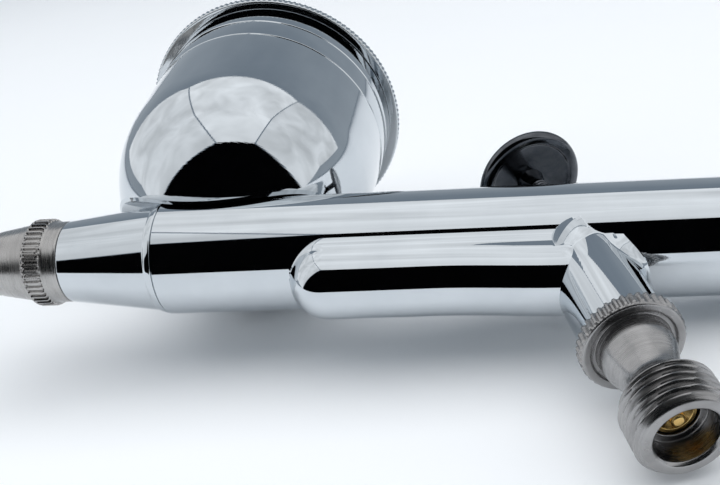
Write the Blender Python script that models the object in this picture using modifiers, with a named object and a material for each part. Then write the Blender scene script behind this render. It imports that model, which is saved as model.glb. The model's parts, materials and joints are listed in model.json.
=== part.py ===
"""Gravity-feed, double-action airbrush, lying on its side as it is laid down on a bench.

Everything is modelled in the airbrush's own axes: x runs from the nose to the tail along the
needle, z points at the paint cup, and the origin is where the air valve's axis crosses the
needle. An empty then lays the whole airbrush on its cup lid, its valve mouth and its tail.

Stations are distances along an axis: x along the needle, s down the air valve from the needle.
"""

import math

import bmesh
import bpy
from mathutils import Matrix, Vector

MM = 0.001

# Fits
GAP = 0.2 * MM              # between neighbours that touch or slide
END_GAP = 0.3 * MM          # between faces that meet end to end
PAST = 1.0 * MM             # how far a cutter runs past the face that it opens
ROUND = 24                  # sides of a turned piece
FINE = 12                   # sides of a small turned piece
WIDE = 36                   # sides of the cup and its lid
SADDLE_SIDES = 40           # sides of the saddle's tube, unlike the cup's so that no edges meet
COIL_STEPS = 9              # points in one turn of a spring
WIRE_SIDES = 8              # sides of an O-ring's section

# Body tube
BODY_R = 6.7 * MM
BODY_FRONT = -47.3 * MM
BODY_REAR = 33.0 * MM
REAR_BORE_R = 5.3 * MM
REAR_BORE_FRONT = -4.0 * MM
MID_BORE_R = 3.0 * MM
WELL_BORE_R = 1.7 * MM
PAINT_WELL_R = 1.5 * MM
HEAD_BORE_R = 4.2 * MM
HEAD_BORE_DEPTH = 3.1 * MM

# Air-passage housing under the body, and the boss that holds the air valve
BELLY_R = 4.3 * MM
BELLY_DROP = 6.0 * MM
BELLY_FRONT = -31.5 * MM
AIR_HOLE_R = 0.6 * MM
AIR_HOLE_WALL = 0.5 * MM
BOSS_R = 4.6 * MM
BOSS_END = 17.5 * MM
BOSS_BORE_R = 3.3 * MM
BOSS_BORE_TOP = 7.0 * MM
BOSS_NECK_R = 2.6 * MM
VALVE_LEAN = math.radians(15.3)

# Head, nozzle and caps
HEAD_LENGTH = 11.8 * MM
HEAD_REAR_R = 6.35 * MM
HEAD_FRONT_R = 4.9 * MM
HEAD_BORE_FRONT_R = 1.7 * MM
HEAD_CHAMFER = 0.15 * MM
SPIGOT_R = 3.5 * MM
SPIGOT_LENGTH = 5.2 * MM
NOZZLE_FLANGE_R = 2.2 * MM
NOZZLE_FLANGE_T = 1.2 * MM
NOZZLE_TIP_R = 0.4 * MM
NOZZLE_LENGTH = 5.3 * MM
NOZZLE_SHANK_LENGTH = 3.6 * MM
PACKING_T = 0.6 * MM
NOZZLE_CAP_LENGTH = 8.6 * MM
NOZZLE_CAP_NOSE_R = 3.9 * MM
NOZZLE_CAP_COLLAR_R = 4.85 * MM
NOZZLE_CAP_COLLAR_LENGTH = 1.5 * MM
NOZZLE_CAP_RING_R = 5.25 * MM
NOZZLE_CAP_RING_LENGTH = 2.5 * MM
NOZZLE_CAP_CAVITY_R = 3.0 * MM
CAP_CHAMFER = 0.25 * MM
STUB_R = 2.7 * MM
STUB_LENGTH = 2.6 * MM
AIR_ORIFICE_R = 0.85 * MM
AIR_ORIFICE_LENGTH = 0.5 * MM
NEEDLE_CAP_R = 3.8 * MM
NEEDLE_CAP_LENGTH = 8.0 * MM
NEEDLE_CAP_BORE_R = 2.2 * MM
NEEDLE_CAP_TIP_R = 3.1 * MM
NEEDLE_CAP_NECK_R = 3.35 * MM
NEEDLE_CAP_TAPER = 2.8 * MM

# Needle and what holds it
NEEDLE_R = 0.65 * MM
NEEDLE_POINT_R = 0.06 * MM
NEEDLE_TAPER = 9.0 * MM
NEEDLE_REAR = 56.0 * MM
PACKING_FRONT = -34.0 * MM
NEEDLE_PACKING_LENGTH = 1.6 * MM
PACKING_SCREW_LENGTH = 7.0 * MM
DRIVER_SLOT = 0.8 * MM
GUIDE_FLANGE_R = 4.2 * MM
GUIDE_FLANGE_LENGTH = 1.5 * MM
GUIDE_TUBE_R = 2.2 * MM
GUIDE_REAR = 40.0 * MM
CASE_FRONT = 12.0 * MM
CASE_WALL = 1.1 * MM
CASE_END_WALL = 3.0 * MM
CASE_REAR = 31.0 * MM
SPRING_WIRE_R = 0.25 * MM
SPRING_TURNS = 9
NUT_R = 3.2 * MM
NUT_FRONT = 36.0 * MM
NUT_LENGTH = 7.5 * MM
NUT_CHAMFER = 1.0 * MM

# Handle
HANDLE_TAIL = 76.0 * MM
HANDLE_TAIL_R = 3.3 * MM
HANDLE_SHANK_LENGTH = 1.6 * MM
HANDLE_WALL = 1.3 * MM
HANDLE_BORE_LENGTH = 29.0 * MM
HANDLE_RING_LENGTH = 5.0 * MM
HANDLE_GROOVE_DEPTH = 0.5 * MM
HANDLE_GROOVE_LENGTH = 0.8 * MM
HANDLE_CHAMFER = 0.2 * MM
TAIL_STEPS = 5

# Paint cup
CUP_X = -42.0 * MM
CUP_BOWL_R = 16.4 * MM
CUP_BOWL_Z = 17.35 * MM
CUP_FLARE = math.radians(2.0)
CUP_RIM_Z = 35.9 * MM
CUP_WALL = 1.0 * MM
CUP_FLOOR_Z = 8.8 * MM
SADDLE_T = 0.45 * MM
SADDLE_BOTTOM_Z = 0.4 * MM
SADDLE_ARC_R = 24.8 * MM
BOWL_STEPS = 10
BOWL_BORE_STEPS = 7

# Cup lid
LID_R = 18.4 * MM
LID_RIM_T = 1.2 * MM
LID_SKIRT_DEPTH = 3.0 * MM
LID_SKIRT_T = 0.8 * MM
LID_SHEET_T = 0.8 * MM
LID_DOME_R = 16.4 * MM
LID_DOME_RISE = 1.8 * MM
LID_VENT_R = 1.0 * MM
LID_CROWN_R = 9.8 * MM
LID_CROWN_DROP = 0.2 * MM
LID_SHOULDER_R = 14.8 * MM
LID_SHOULDER_DROP = 0.7 * MM
LID_CHAMFER = 0.24 * MM

# Trigger and auxiliary lever, about the trigger's foot on the plunger
FOOT_S = 3.0 * MM
PRESS_TRAVEL = 1.6 * MM
PULL_ANGLE = math.radians(18.0)
STEM_T = 2.6 * MM
STEM_WIDTH = 3.0 * MM
STEM_SLOT = 1.8 * MM
STEM_SLOT_BOTTOM = 1.3 * MM
STEM_SLOT_TOP = 6.3 * MM
KNEE_Z = 8.4 * MM
FINGER_STEM_R = 1.3 * MM
FINGER_FILLET_R = 2.2 * MM
FINGER_FILLET_LENGTH = 1.2 * MM
PAD_OFFSET_X = -5.7 * MM
PAD_OFFSET_Z = 18.0 * MM
PAD_R = 6.8 * MM
PAD_T = 1.9 * MM
PAD_DISH = 0.6 * MM
PAD_RIM = 0.3 * MM          # how far the rim's corners are rounded in
PAD_RIM_INNER_R = 5.8 * MM
PAD_HOLLOW_R = 4.8 * MM     # the hollow under the pad
PAD_HOLLOW = 0.4 * MM
PAD_LEAN = math.radians(25.0)
LEVER_T = 1.2 * MM
LEVER_WIDTH = 4.0 * MM
LEVER_FOOT_Z = -3.9 * MM
LEVER_TOP_Z = 4.4 * MM
SLOT_WIDTH = 5.0 * MM
SLOT_FRONT = -8.0 * MM
SLOT_REAR = 8.0 * MM

# Air valve, stations s down its axis
PLUNGER_R = 1.8 * MM
PLUNGER_TOP = 4.6 * MM
PLUNGER_END = 8.8 * MM
PLUNGER_RING_S = 8.1 * MM
RING_WIRE_R = 0.25 * MM
RING_GROOVE_DEPTH = 0.6 * MM
RING_GROOVE_HALF = 0.35 * MM
GUIDE_BUSH_LENGTH = 2.0 * MM
CASING_TOP = 10.6 * MM
CASING_RING_R = 5.5 * MM
CASING_RING_LENGTH = 2.0 * MM
CASING_RING_CHAMFER = 0.4 * MM
CASING_BULB_LENGTH = 1.2 * MM
CASING_BULB_R = 3.8 * MM
CASING_WAIST_R = 2.9 * MM
CASING_WAIST_S = 24.8 * MM
THREAD_R = 4.865 * MM       # G 1/8
THREAD_PITCH = 0.907 * MM
THREAD_DEPTH = 0.5 * MM
THREAD_TURNS = 5
THREAD_TOP = 27.3 * MM
MOUTH_S = 32.5 * MM
MOUTH_R = 3.1 * MM
MOUTH_DEPTH = 2.9 * MM
MOUTH_CHAMFER = 0.3 * MM
NECK_STEPS = 4
FLARE_STEPS = 3
FLARE_POWER = 1.6           # how late the neck opens out towards the thread
CASING_BORE_R = 2.3 * MM
CASING_PORT_R = 0.95 * MM
CASING_PORT_LENGTH = 1.4 * MM
VALVE_PIN_R = 0.6 * MM
VALVE_DISC_R = 1.8 * MM
VALVE_DISC_T = 1.0 * MM
VALVE_STEM_R = 0.7 * MM
VALVE_STEM_END = 30.4 * MM
VALVE_SPRING_COIL_R = 1.5 * MM
VALVE_SPRING_WIRE_R = 0.2 * MM
VALVE_SPRING_TURNS = 7
SPRING_SCREW_LENGTH = 2.8 * MM

# Places that follow from the sizes above
HEAD_REAR = BODY_FRONT - END_GAP
HEAD_FRONT = HEAD_REAR - HEAD_LENGTH
SPIGOT_FRONT = HEAD_FRONT - SPIGOT_LENGTH
NOZZLE_SEAT = SPIGOT_FRONT - GAP
NOZZLE_FLANGE = NOZZLE_SEAT - PACKING_T - GAP
NOZZLE_TIP = NOZZLE_FLANGE - NOZZLE_LENGTH
CAP_REAR = HEAD_FRONT - END_GAP
CAP_FRONT = CAP_REAR - NOZZLE_CAP_LENGTH
STUB_FRONT = CAP_FRONT - STUB_LENGTH
NEEDLE_CAP_REAR = CAP_FRONT - END_GAP
NEEDLE_CAP_FRONT = NEEDLE_CAP_REAR - NEEDLE_CAP_LENGTH
NEEDLE_TIP = NOZZLE_TIP - 1.0 * MM
NEEDLE_BORE_R = NEEDLE_R + GAP
PACKING_SCREW_FRONT = PACKING_FRONT + GAP + NEEDLE_PACKING_LENGTH + GAP
FOOT = Vector((FOOT_S * math.sin(VALVE_LEAN), 0.0, -FOOT_S * math.cos(VALVE_LEAN)))
PRESSED_FOOT = FOOT * (1 + PRESS_TRAVEL / FOOT_S)
LEVER_REACH = STEM_T / 2 + END_GAP + LEVER_T / 2 + (LEVER_FOOT_Z - PRESSED_FOOT.z) * math.sin(PULL_ANGLE)
LEVER_X = PRESSED_FOOT.x + LEVER_REACH / math.cos(PULL_ANGLE)
GUIDE_FRONT = LEVER_X + LEVER_T / 2 + END_GAP
GUIDE_FLANGE_REAR = GUIDE_FRONT + GUIDE_FLANGE_LENGTH
CASE_R = REAR_BORE_R - GAP
CASE_BORE_R = CASE_R - CASE_WALL
CASE_END_FRONT = CASE_REAR - CASE_END_WALL
HANDLE_SHANK_FRONT = BODY_REAR - HANDLE_SHANK_LENGTH
HANDLE_FRONT = BODY_REAR + END_GAP
PLUNGER_BUSH_TOP = BOSS_BORE_TOP + GAP
PLUNGER_BUSH_END = PLUNGER_BUSH_TOP + GUIDE_BUSH_LENGTH
CASING_SHANK_R = BOSS_BORE_R - GAP
RING_TOP = BOSS_END + END_GAP
RING_END = RING_TOP + CASING_RING_LENGTH
NECK_TOP = RING_END + CASING_BULB_LENGTH
CASING_FLOOR = CASING_TOP + CASING_PORT_LENGTH
VALVE_PACKING_END = CASING_FLOOR + GAP + PACKING_T
VALVE_DISC_TOP = VALVE_PACKING_END + GAP
VALVE_DISC_END = VALVE_DISC_TOP + VALVE_DISC_T
SPRING_SCREW_END = MOUTH_S - MOUTH_DEPTH - GAP
SPRING_SCREW_TOP = SPRING_SCREW_END - SPRING_SCREW_LENGTH
CUP_TANGENT_Z = CUP_BOWL_Z - CUP_BOWL_R * math.sin(CUP_FLARE)
CUP_TANGENT_R = CUP_BOWL_R * math.cos(CUP_FLARE)
CUP_RIM_R = CUP_TANGENT_R + (CUP_RIM_Z - CUP_TANGENT_Z) * math.tan(CUP_FLARE)
LID_BOTTOM = CUP_RIM_Z + END_GAP
LID_TOP = LID_BOTTOM + LID_RIM_T
LID_SKIRT_END = LID_BOTTOM - LID_SKIRT_DEPTH
LID_SKIRT_R = CUP_RIM_R - CUP_WALL - (CUP_RIM_Z - LID_SKIRT_END) * math.tan(CUP_FLARE) - GAP
SADDLE_R = BODY_R + GAP + SADDLE_T


def clear_scene():
    for obj in list(bpy.data.objects):
        bpy.data.objects.remove(obj)


def new_collection(name):
    group = bpy.data.collections.new(name)
    bpy.context.scene.collection.children.link(group)
    return group


def finish(name, colour, roughness, metallic=1.0):
    material = bpy.data.materials.new(name)
    material.use_nodes = True
    shader = material.node_tree.nodes["Principled BSDF"]
    shader.inputs["Base Color"].default_value = (*colour, 1.0)
    shader.inputs["Roughness"].default_value = roughness
    shader.inputs["Metallic"].default_value = metallic
    return material


def empty(name, parent, location=(0, 0, 0), turn=(0, 0, 0)):
    frame = bpy.data.objects.new(name, None)
    parts.objects.link(frame)
    frame.parent = parent
    frame.location = location
    frame.rotation_euler = turn
    return frame


def place(obj, parent, material=None, group=None):
    (group or parts).objects.link(obj)
    obj.parent = parent
    if material:
        obj.data.materials.append(material)
    return obj


def guide(obj, parent):
    """A solid that only cuts or joins another: kept out of the render."""
    place(obj, parent, group=cutters)
    obj.hide_render = True
    obj.display_type = "WIRE"
    return obj


def turned_mesh(name, outline, steps):
    """A turned shape about z. The outline is (radius, height) pairs, down its outer side."""
    mesh = bpy.data.meshes.new(name)
    points = [(radius, 0.0, height) for radius, height in outline]
    solid = outline[0][0] == 0.0 and outline[-1][0] == 0.0
    edges = [(i, i + 1) for i in range(len(points) - 1)]
    if not solid:
        edges.append((len(points) - 1, 0))
    mesh.from_pydata(points, edges, [])
    obj = bpy.data.objects.new(name, mesh)
    screw = obj.modifiers.new("turn", "SCREW")
    screw.axis = "Z"
    screw.steps = steps
    screw.render_steps = steps
    screw.use_merge_vertices = True
    screw.merge_threshold = 1e-6
    screw.use_smooth_shade = True
    return obj


def down(outline):
    """Stations down an axis, as heights along the axis's frame."""
    return [(radius, -station) for radius, station in outline]


def turned(name, outline, frame, material, steps=ROUND):
    return place(turned_mesh(name, outline, steps), frame, material)


def turned_guide(name, outline, frame, steps=ROUND):
    return guide(turned_mesh(name, outline, steps), frame)


def rod(radius, top, bottom):
    return [(0.0, top), (radius, top), (radius, bottom), (0.0, bottom)]


def sleeve(radius, bore, top, bottom):
    return [(radius, top), (radius, bottom), (bore, bottom), (bore, top)]


def arc(centre_r, centre_z, radius, start, end, count):
    """Points of a circular arc in an outline, between two angles in radians above the radius."""
    angles = [start + (end - start) * i / count for i in range(count + 1)]
    return [(centre_r + radius * math.cos(a), centre_z + radius * math.sin(a)) for a in angles]


def block_mesh(name, size, centre):
    mesh = bpy.data.meshes.new(name)
    shape = bmesh.new()
    bmesh.ops.create_cube(shape, size=1.0)
    bmesh.ops.scale(shape, vec=size, verts=shape.verts)
    bmesh.ops.translate(shape, vec=centre, verts=shape.verts)
    shape.to_mesh(mesh)
    shape.free()
    return bpy.data.objects.new(name, mesh)


def hull_mesh(name, seed, places):
    """The convex hull of one seed shape set down at several places."""
    corners = bmesh.new()
    seed(corners)
    points = [corner.co + Vector(spot) for spot in places for corner in corners.verts]
    corners.free()
    shape = bmesh.new()
    for point in points:
        shape.verts.new(point)
    bmesh.ops.convex_hull(shape, input=shape.verts)
    inner = [corner for corner in shape.verts if not corner.link_faces]
    bmesh.ops.delete(shape, geom=inner, context="VERTS")
    bmesh.ops.recalc_face_normals(shape, faces=shape.faces)
    mesh = bpy.data.meshes.new(name)
    shape.to_mesh(mesh)
    shape.free()
    return bpy.data.objects.new(name, mesh)


def ball_seed(radius):
    return lambda shape: bmesh.ops.create_uvsphere(shape, u_segments=ROUND, v_segments=FINE, radius=radius)


def post_seed(radius, height):
    return lambda shape: bmesh.ops.create_cone(shape, cap_ends=True, segments=FINE, radius1=radius,
                                               radius2=radius, depth=height)


def boolean(obj, other, operation):
    step = obj.modifiers.new(operation.lower() + "_" + other.name, "BOOLEAN")
    step.operation = operation
    step.object = other
    step.solver = "EXACT"


def cut(obj, *others):
    for other in others:
        boolean(obj, other, "DIFFERENCE")


def join(obj, *others):
    for other in others:
        boolean(obj, other, "UNION")


def coil(name, frame, material, coil_r, wire_r, turns, start, end):
    """A round-wire spring about a frame's axis, between two stations."""
    count = turns * COIL_STEPS
    low, high = start + wire_r, end - wire_r
    curve = bpy.data.curves.new(name, "CURVE")
    curve.dimensions = "3D"
    curve.bevel_depth = wire_r
    curve.bevel_resolution = 1
    curve.use_fill_caps = True
    line = curve.splines.new("POLY")
    line.points.add(count)
    for i, point in enumerate(line.points):
        angle = math.tau * i / COIL_STEPS
        station = low + (high - low) * i / count
        point.co = (coil_r * math.cos(angle), coil_r * math.sin(angle), -station, 1.0)
    obj = bpy.data.objects.new(name, curve)
    return place(obj, frame, material)


def build_body():
    tube = rod(BODY_R, BODY_FRONT, BODY_REAR)
    body = turned("body", down(tube), needle_axis, chrome)
    nose_x = BELLY_FRONT + BELLY_R
    belly = guide(hull_mesh("belly", ball_seed(BELLY_R), [
        (nose_x, 0.0, -BELLY_DROP),
        (nose_x, 0.0, 0.0),
        (0.0, 0.0, -BELLY_DROP),
        (0.0, 0.0, 0.0),
    ]), airbrush)
    boss = turned_guide("boss", down(rod(BOSS_R, 0.0, BOSS_END)), valve_axis)
    join(body, belly, boss)
    chamber_s = (PLUNGER_BUSH_END + CASING_TOP) / 2
    chamber = (chamber_s * math.sin(VALVE_LEAN), -chamber_s * math.cos(VALVE_LEAN))
    riser_z = -BELLY_DROP - BELLY_R / 2
    riser_x = BELLY_FRONT + 2 * BELLY_R
    wall_z = -(HEAD_BORE_R + AIR_HOLE_WALL + AIR_HOLE_R)
    head_bore_end = BODY_FRONT + HEAD_BORE_DEPTH
    bores = turned_guide("bores", down([
        (0.0, BODY_FRONT - PAST),
        (HEAD_BORE_R, BODY_FRONT - PAST),
        (HEAD_BORE_R, head_bore_end),
        (WELL_BORE_R, head_bore_end),
        (WELL_BORE_R, PACKING_FRONT),
        (MID_BORE_R, PACKING_FRONT),
        (MID_BORE_R, REAR_BORE_FRONT),
        (REAR_BORE_R, REAR_BORE_FRONT),
        (REAR_BORE_R, BODY_REAR + PAST),
        (0.0, BODY_REAR + PAST),
    ]), needle_axis)
    valve_bores = turned_guide("valve_bores", down([
        (0.0, FOOT_S),
        (BOSS_NECK_R, FOOT_S),
        (BOSS_NECK_R, BOSS_BORE_TOP),
        (BOSS_BORE_R, BOSS_BORE_TOP),
        (BOSS_BORE_R, BOSS_END + PAST),
        (0.0, BOSS_END + PAST),
    ]), valve_axis)
    cut(body,
        bores,
        valve_bores,
        turned_guide("paint_well", rod(PAINT_WELL_R, BODY_R + PAST, 0.0), cup_axis, FINE),
        trigger_slot(),
        air_hole("air_hole_belly", (riser_x - 2 * AIR_HOLE_R, riser_z), chamber),
        air_hole("air_hole_riser", (riser_x, riser_z), (riser_x, wall_z)),
        air_hole("air_hole_wall", (BODY_FRONT - PAST, wall_z), (riser_x + 2 * AIR_HOLE_R, wall_z)))
    return body


def trigger_slot():
    """A slot with round ends, through the top of the tube."""
    half = SLOT_WIDTH / 2
    ends = [(SLOT_FRONT + half, 0.0, BODY_R), (SLOT_REAR - half, 0.0, BODY_R)]
    return guide(hull_mesh("trigger_slot", post_seed(half, 2 * BODY_R), ends), airbrush)


def air_hole(name, start, end):
    """A drilled hole in the plane y = 0, between two (x, z) points."""
    a = Vector((start[0], 0.0, start[1]))
    b = Vector((end[0], 0.0, end[1]))
    along = (b - a).to_track_quat("Z", "Y").to_euler()
    frame = empty(name + "_axis", airbrush, a, along)
    return turned_guide(name, rod(AIR_HOLE_R, (b - a).length, 0.0), frame, FINE)


def build_cup():
    bowl = arc(0.0, CUP_BOWL_Z, CUP_BOWL_R, -CUP_FLARE, -math.pi / 2, BOWL_STEPS)
    bowl[-1] = (WELL_BORE_R, CUP_BOWL_Z - CUP_BOWL_R)
    bore_r = CUP_RIM_R - CUP_WALL
    floor_r = CUP_TANGENT_R - CUP_WALL
    floor_h = CUP_TANGENT_Z - CUP_FLOOR_Z
    inside = []
    for i in range(BOWL_BORE_STEPS + 1):
        a = math.pi / 2 * (1 - i / BOWL_BORE_STEPS)
        radius = WELL_BORE_R + (floor_r - WELL_BORE_R) * math.cos(a)
        inside.append((radius, CUP_TANGENT_Z - floor_h * math.sin(a)))
    outline = [(CUP_RIM_R, CUP_RIM_Z)] + bowl + inside + [(bore_r, CUP_RIM_Z)]
    cup = turned("cup", outline, cup_axis, chrome_cup, WIDE)
    saddle = turned_guide("saddle", rod(SADDLE_ARC_R, BODY_R * 2, -BODY_R * 2), saddle_axis, WIDE)
    outer_tube = down(rod(SADDLE_R, CUP_X - CUP_BOWL_R, CUP_X + CUP_BOWL_R))
    inner_tube = down(rod(BODY_R + GAP, CUP_X - 2 * CUP_BOWL_R, CUP_X + 2 * CUP_BOWL_R))
    boolean(saddle, turned_guide("saddle_tube", outer_tube, needle_axis, SADDLE_SIDES), "INTERSECT")
    join(cup, saddle)
    cut(cup, turned_guide("tube_clearance", inner_tube, needle_axis, SADDLE_SIDES))
    cut(cup, turned_guide("cup_drain", rod(PAINT_WELL_R, CUP_FLOOR_Z + PAST, 0.0), cup_axis, FINE))
    return cup


def build_lid():
    top = LID_TOP + LID_DOME_RISE
    under = top - LID_SHEET_T
    return turned("cup_lid", [
        (LID_VENT_R, top),
        (LID_CROWN_R, top - LID_CROWN_DROP),
        (LID_SHOULDER_R, top - LID_SHOULDER_DROP),
        (LID_DOME_R, LID_TOP),
        (LID_R - LID_CHAMFER, LID_TOP),
        (LID_R, LID_TOP - LID_CHAMFER),
        (LID_R, LID_BOTTOM + LID_CHAMFER),
        (LID_R - LID_CHAMFER, LID_BOTTOM),
        (LID_SKIRT_R, LID_BOTTOM),
        (LID_SKIRT_R, LID_SKIRT_END),
        (LID_SKIRT_R - LID_SKIRT_T, LID_SKIRT_END),
        (LID_SKIRT_R - LID_SKIRT_T, LID_TOP - LID_SHEET_T),
        (LID_CROWN_R, under - LID_CROWN_DROP),
        (LID_VENT_R, under),
    ], cup_axis, chrome_lid, WIDE)


def build_front():
    """Head, nozzle, nozzle cap, needle cap and the packings between them."""
    shank_r = HEAD_BORE_R - GAP
    packing_front = BODY_FRONT + HEAD_BORE_DEPTH - GAP - PACKING_T
    shank_rear = packing_front - GAP
    turned("head", down([
        (SPIGOT_R - HEAD_CHAMFER, SPIGOT_FRONT),
        (SPIGOT_R, SPIGOT_FRONT + HEAD_CHAMFER),
        (SPIGOT_R, HEAD_FRONT),
        (HEAD_FRONT_R, HEAD_FRONT),
        (HEAD_REAR_R, HEAD_REAR - HEAD_CHAMFER),
        (HEAD_REAR_R - HEAD_CHAMFER, HEAD_REAR),
        (shank_r, HEAD_REAR),
        (shank_r, shank_rear),
        (HEAD_BORE_FRONT_R, shank_rear),
        (HEAD_BORE_FRONT_R, SPIGOT_FRONT),
    ]), needle_axis, chrome)
    turned("head_packing", down(sleeve(shank_r, WELL_BORE_R, packing_front, packing_front + PACKING_T)),
           needle_axis, white_packing)
    shank = HEAD_BORE_FRONT_R - GAP
    seal = sleeve(NOZZLE_FLANGE_R, shank + GAP, NOZZLE_SEAT - PACKING_T, NOZZLE_SEAT)
    turned("nozzle_packing", down(seal), needle_axis, white_packing, FINE)
    bore_tip = NOZZLE_TIP_R / 2
    turned("nozzle", down([
        (NOZZLE_TIP_R, NOZZLE_TIP),
        (shank, NOZZLE_FLANGE - NOZZLE_FLANGE_T),
        (NOZZLE_FLANGE_R, NOZZLE_FLANGE - NOZZLE_FLANGE_T),
        (NOZZLE_FLANGE_R, NOZZLE_FLANGE),
        (shank, NOZZLE_FLANGE),
        (shank, NOZZLE_FLANGE + NOZZLE_SHANK_LENGTH),
        (NEEDLE_R + 2 * GAP, NOZZLE_FLANGE + NOZZLE_SHANK_LENGTH),
        (NEEDLE_R + 2 * GAP, NOZZLE_FLANGE - NOZZLE_FLANGE_T),
        (bore_tip, NOZZLE_TIP),
    ]), needle_axis, nickel, FINE)
    cavity_rear = SPIGOT_FRONT - GAP
    ring_rear = CAP_REAR - NOZZLE_CAP_COLLAR_LENGTH
    ring_front = ring_rear - NOZZLE_CAP_RING_LENGTH
    turned("nozzle_cap", down([
        (STUB_R, STUB_FRONT),
        (STUB_R, CAP_FRONT),
        (NOZZLE_CAP_NOSE_R - HEAD_CHAMFER, CAP_FRONT),
        (NOZZLE_CAP_NOSE_R, CAP_FRONT + HEAD_CHAMFER),
        (NOZZLE_CAP_COLLAR_R - HEAD_CHAMFER, ring_front),
        (NOZZLE_CAP_RING_R - CAP_CHAMFER, ring_front),
        (NOZZLE_CAP_RING_R, ring_front + CAP_CHAMFER),
        (NOZZLE_CAP_RING_R, ring_rear - CAP_CHAMFER),
        (NOZZLE_CAP_RING_R - CAP_CHAMFER, ring_rear),
        (NOZZLE_CAP_COLLAR_R, ring_rear),
        (NOZZLE_CAP_COLLAR_R, CAP_REAR),
        (SPIGOT_R + GAP, CAP_REAR),
        (SPIGOT_R + GAP, cavity_rear),
        (NOZZLE_CAP_CAVITY_R, cavity_rear),
        (NOZZLE_CAP_CAVITY_R, NOZZLE_FLANGE - NOZZLE_FLANGE_T - GAP),
        (shank + 2 * GAP, CAP_FRONT),
        (AIR_ORIFICE_R, STUB_FRONT + AIR_ORIFICE_LENGTH),
        (AIR_ORIFICE_R, STUB_FRONT),
    ]), needle_axis, satin_steel)
    turned("needle_cap", down([
        (NEEDLE_CAP_TIP_R, NEEDLE_CAP_FRONT),
        (NEEDLE_CAP_NECK_R, NEEDLE_CAP_FRONT + CAP_CHAMFER),
        (NEEDLE_CAP_R, NEEDLE_CAP_FRONT + NEEDLE_CAP_TAPER),
        (NEEDLE_CAP_R, NEEDLE_CAP_REAR - CAP_CHAMFER),
        (NEEDLE_CAP_R - CAP_CHAMFER, NEEDLE_CAP_REAR),
        (STUB_R + GAP, NEEDLE_CAP_REAR),
        (STUB_R + GAP, STUB_FRONT - GAP),
        (NEEDLE_CAP_BORE_R, STUB_FRONT - GAP),
        (NEEDLE_CAP_BORE_R, NEEDLE_CAP_FRONT),
    ]), needle_axis, satin_steel)


def build_needle():
    """Needle, its packing, and the guide, nut, spring and case that draw it back."""
    taper_end = NEEDLE_TIP + NEEDLE_TAPER
    turned("needle", down([
        (0.0, NEEDLE_TIP),
        (NEEDLE_POINT_R, NEEDLE_TIP),
        (NEEDLE_R, taper_end),
        (NEEDLE_R, NEEDLE_REAR),
        (0.0, NEEDLE_REAR),
    ]), needle_axis, polished_steel, FINE)
    packing_r = MID_BORE_R - GAP
    front = PACKING_FRONT + GAP
    turned("needle_packing", down(sleeve(packing_r, NEEDLE_BORE_R, front, front + NEEDLE_PACKING_LENGTH)),
           needle_axis, white_packing, FINE)
    screw_rear = PACKING_SCREW_FRONT + PACKING_SCREW_LENGTH
    screw = turned("packing_screw",
                   down(sleeve(packing_r, NEEDLE_BORE_R, PACKING_SCREW_FRONT, screw_rear)),
                   needle_axis, brass, FINE)
    slot_size = (2 * DRIVER_SLOT, 4 * packing_r, DRIVER_SLOT)
    cut(screw, guide(block_mesh("driver_slot", slot_size, (screw_rear, 0.0, 0.0)), airbrush))
    turned("needle_guide", down([
        (GUIDE_FLANGE_R, GUIDE_FRONT),
        (GUIDE_FLANGE_R, GUIDE_FLANGE_REAR),
        (GUIDE_TUBE_R, GUIDE_FLANGE_REAR),
        (GUIDE_TUBE_R, GUIDE_REAR),
        (NEEDLE_BORE_R, GUIDE_REAR),
        (NEEDLE_BORE_R, GUIDE_FRONT),
    ]), needle_axis, nickel)
    nut_rear = NUT_FRONT + NUT_LENGTH
    turned("chucking_nut", down([
        (NUT_R, NUT_FRONT),
        (NUT_R, nut_rear - NUT_CHAMFER),
        (NUT_R - NUT_CHAMFER, nut_rear),
        (NEEDLE_BORE_R, nut_rear),
        (NEEDLE_BORE_R, GUIDE_REAR + GAP),
        (GUIDE_TUBE_R + GAP, GUIDE_REAR + GAP),
        (GUIDE_TUBE_R + GAP, NUT_FRONT),
    ]), needle_axis, nickel)
    turned("spring_case", down([
        (CASE_R, CASE_FRONT),
        (CASE_R, CASE_REAR),
        (GUIDE_TUBE_R + GAP, CASE_REAR),
        (GUIDE_TUBE_R + GAP, CASE_END_FRONT),
        (CASE_BORE_R, CASE_END_FRONT),
        (CASE_BORE_R, CASE_FRONT),
    ]), needle_axis, nickel)
    coil("needle_spring", needle_axis, spring_steel, GUIDE_TUBE_R + 2 * GAP + 2 * SPRING_WIRE_R,
         SPRING_WIRE_R, SPRING_TURNS, GUIDE_FLANGE_REAR + GAP, CASE_END_FRONT - GAP)


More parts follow.
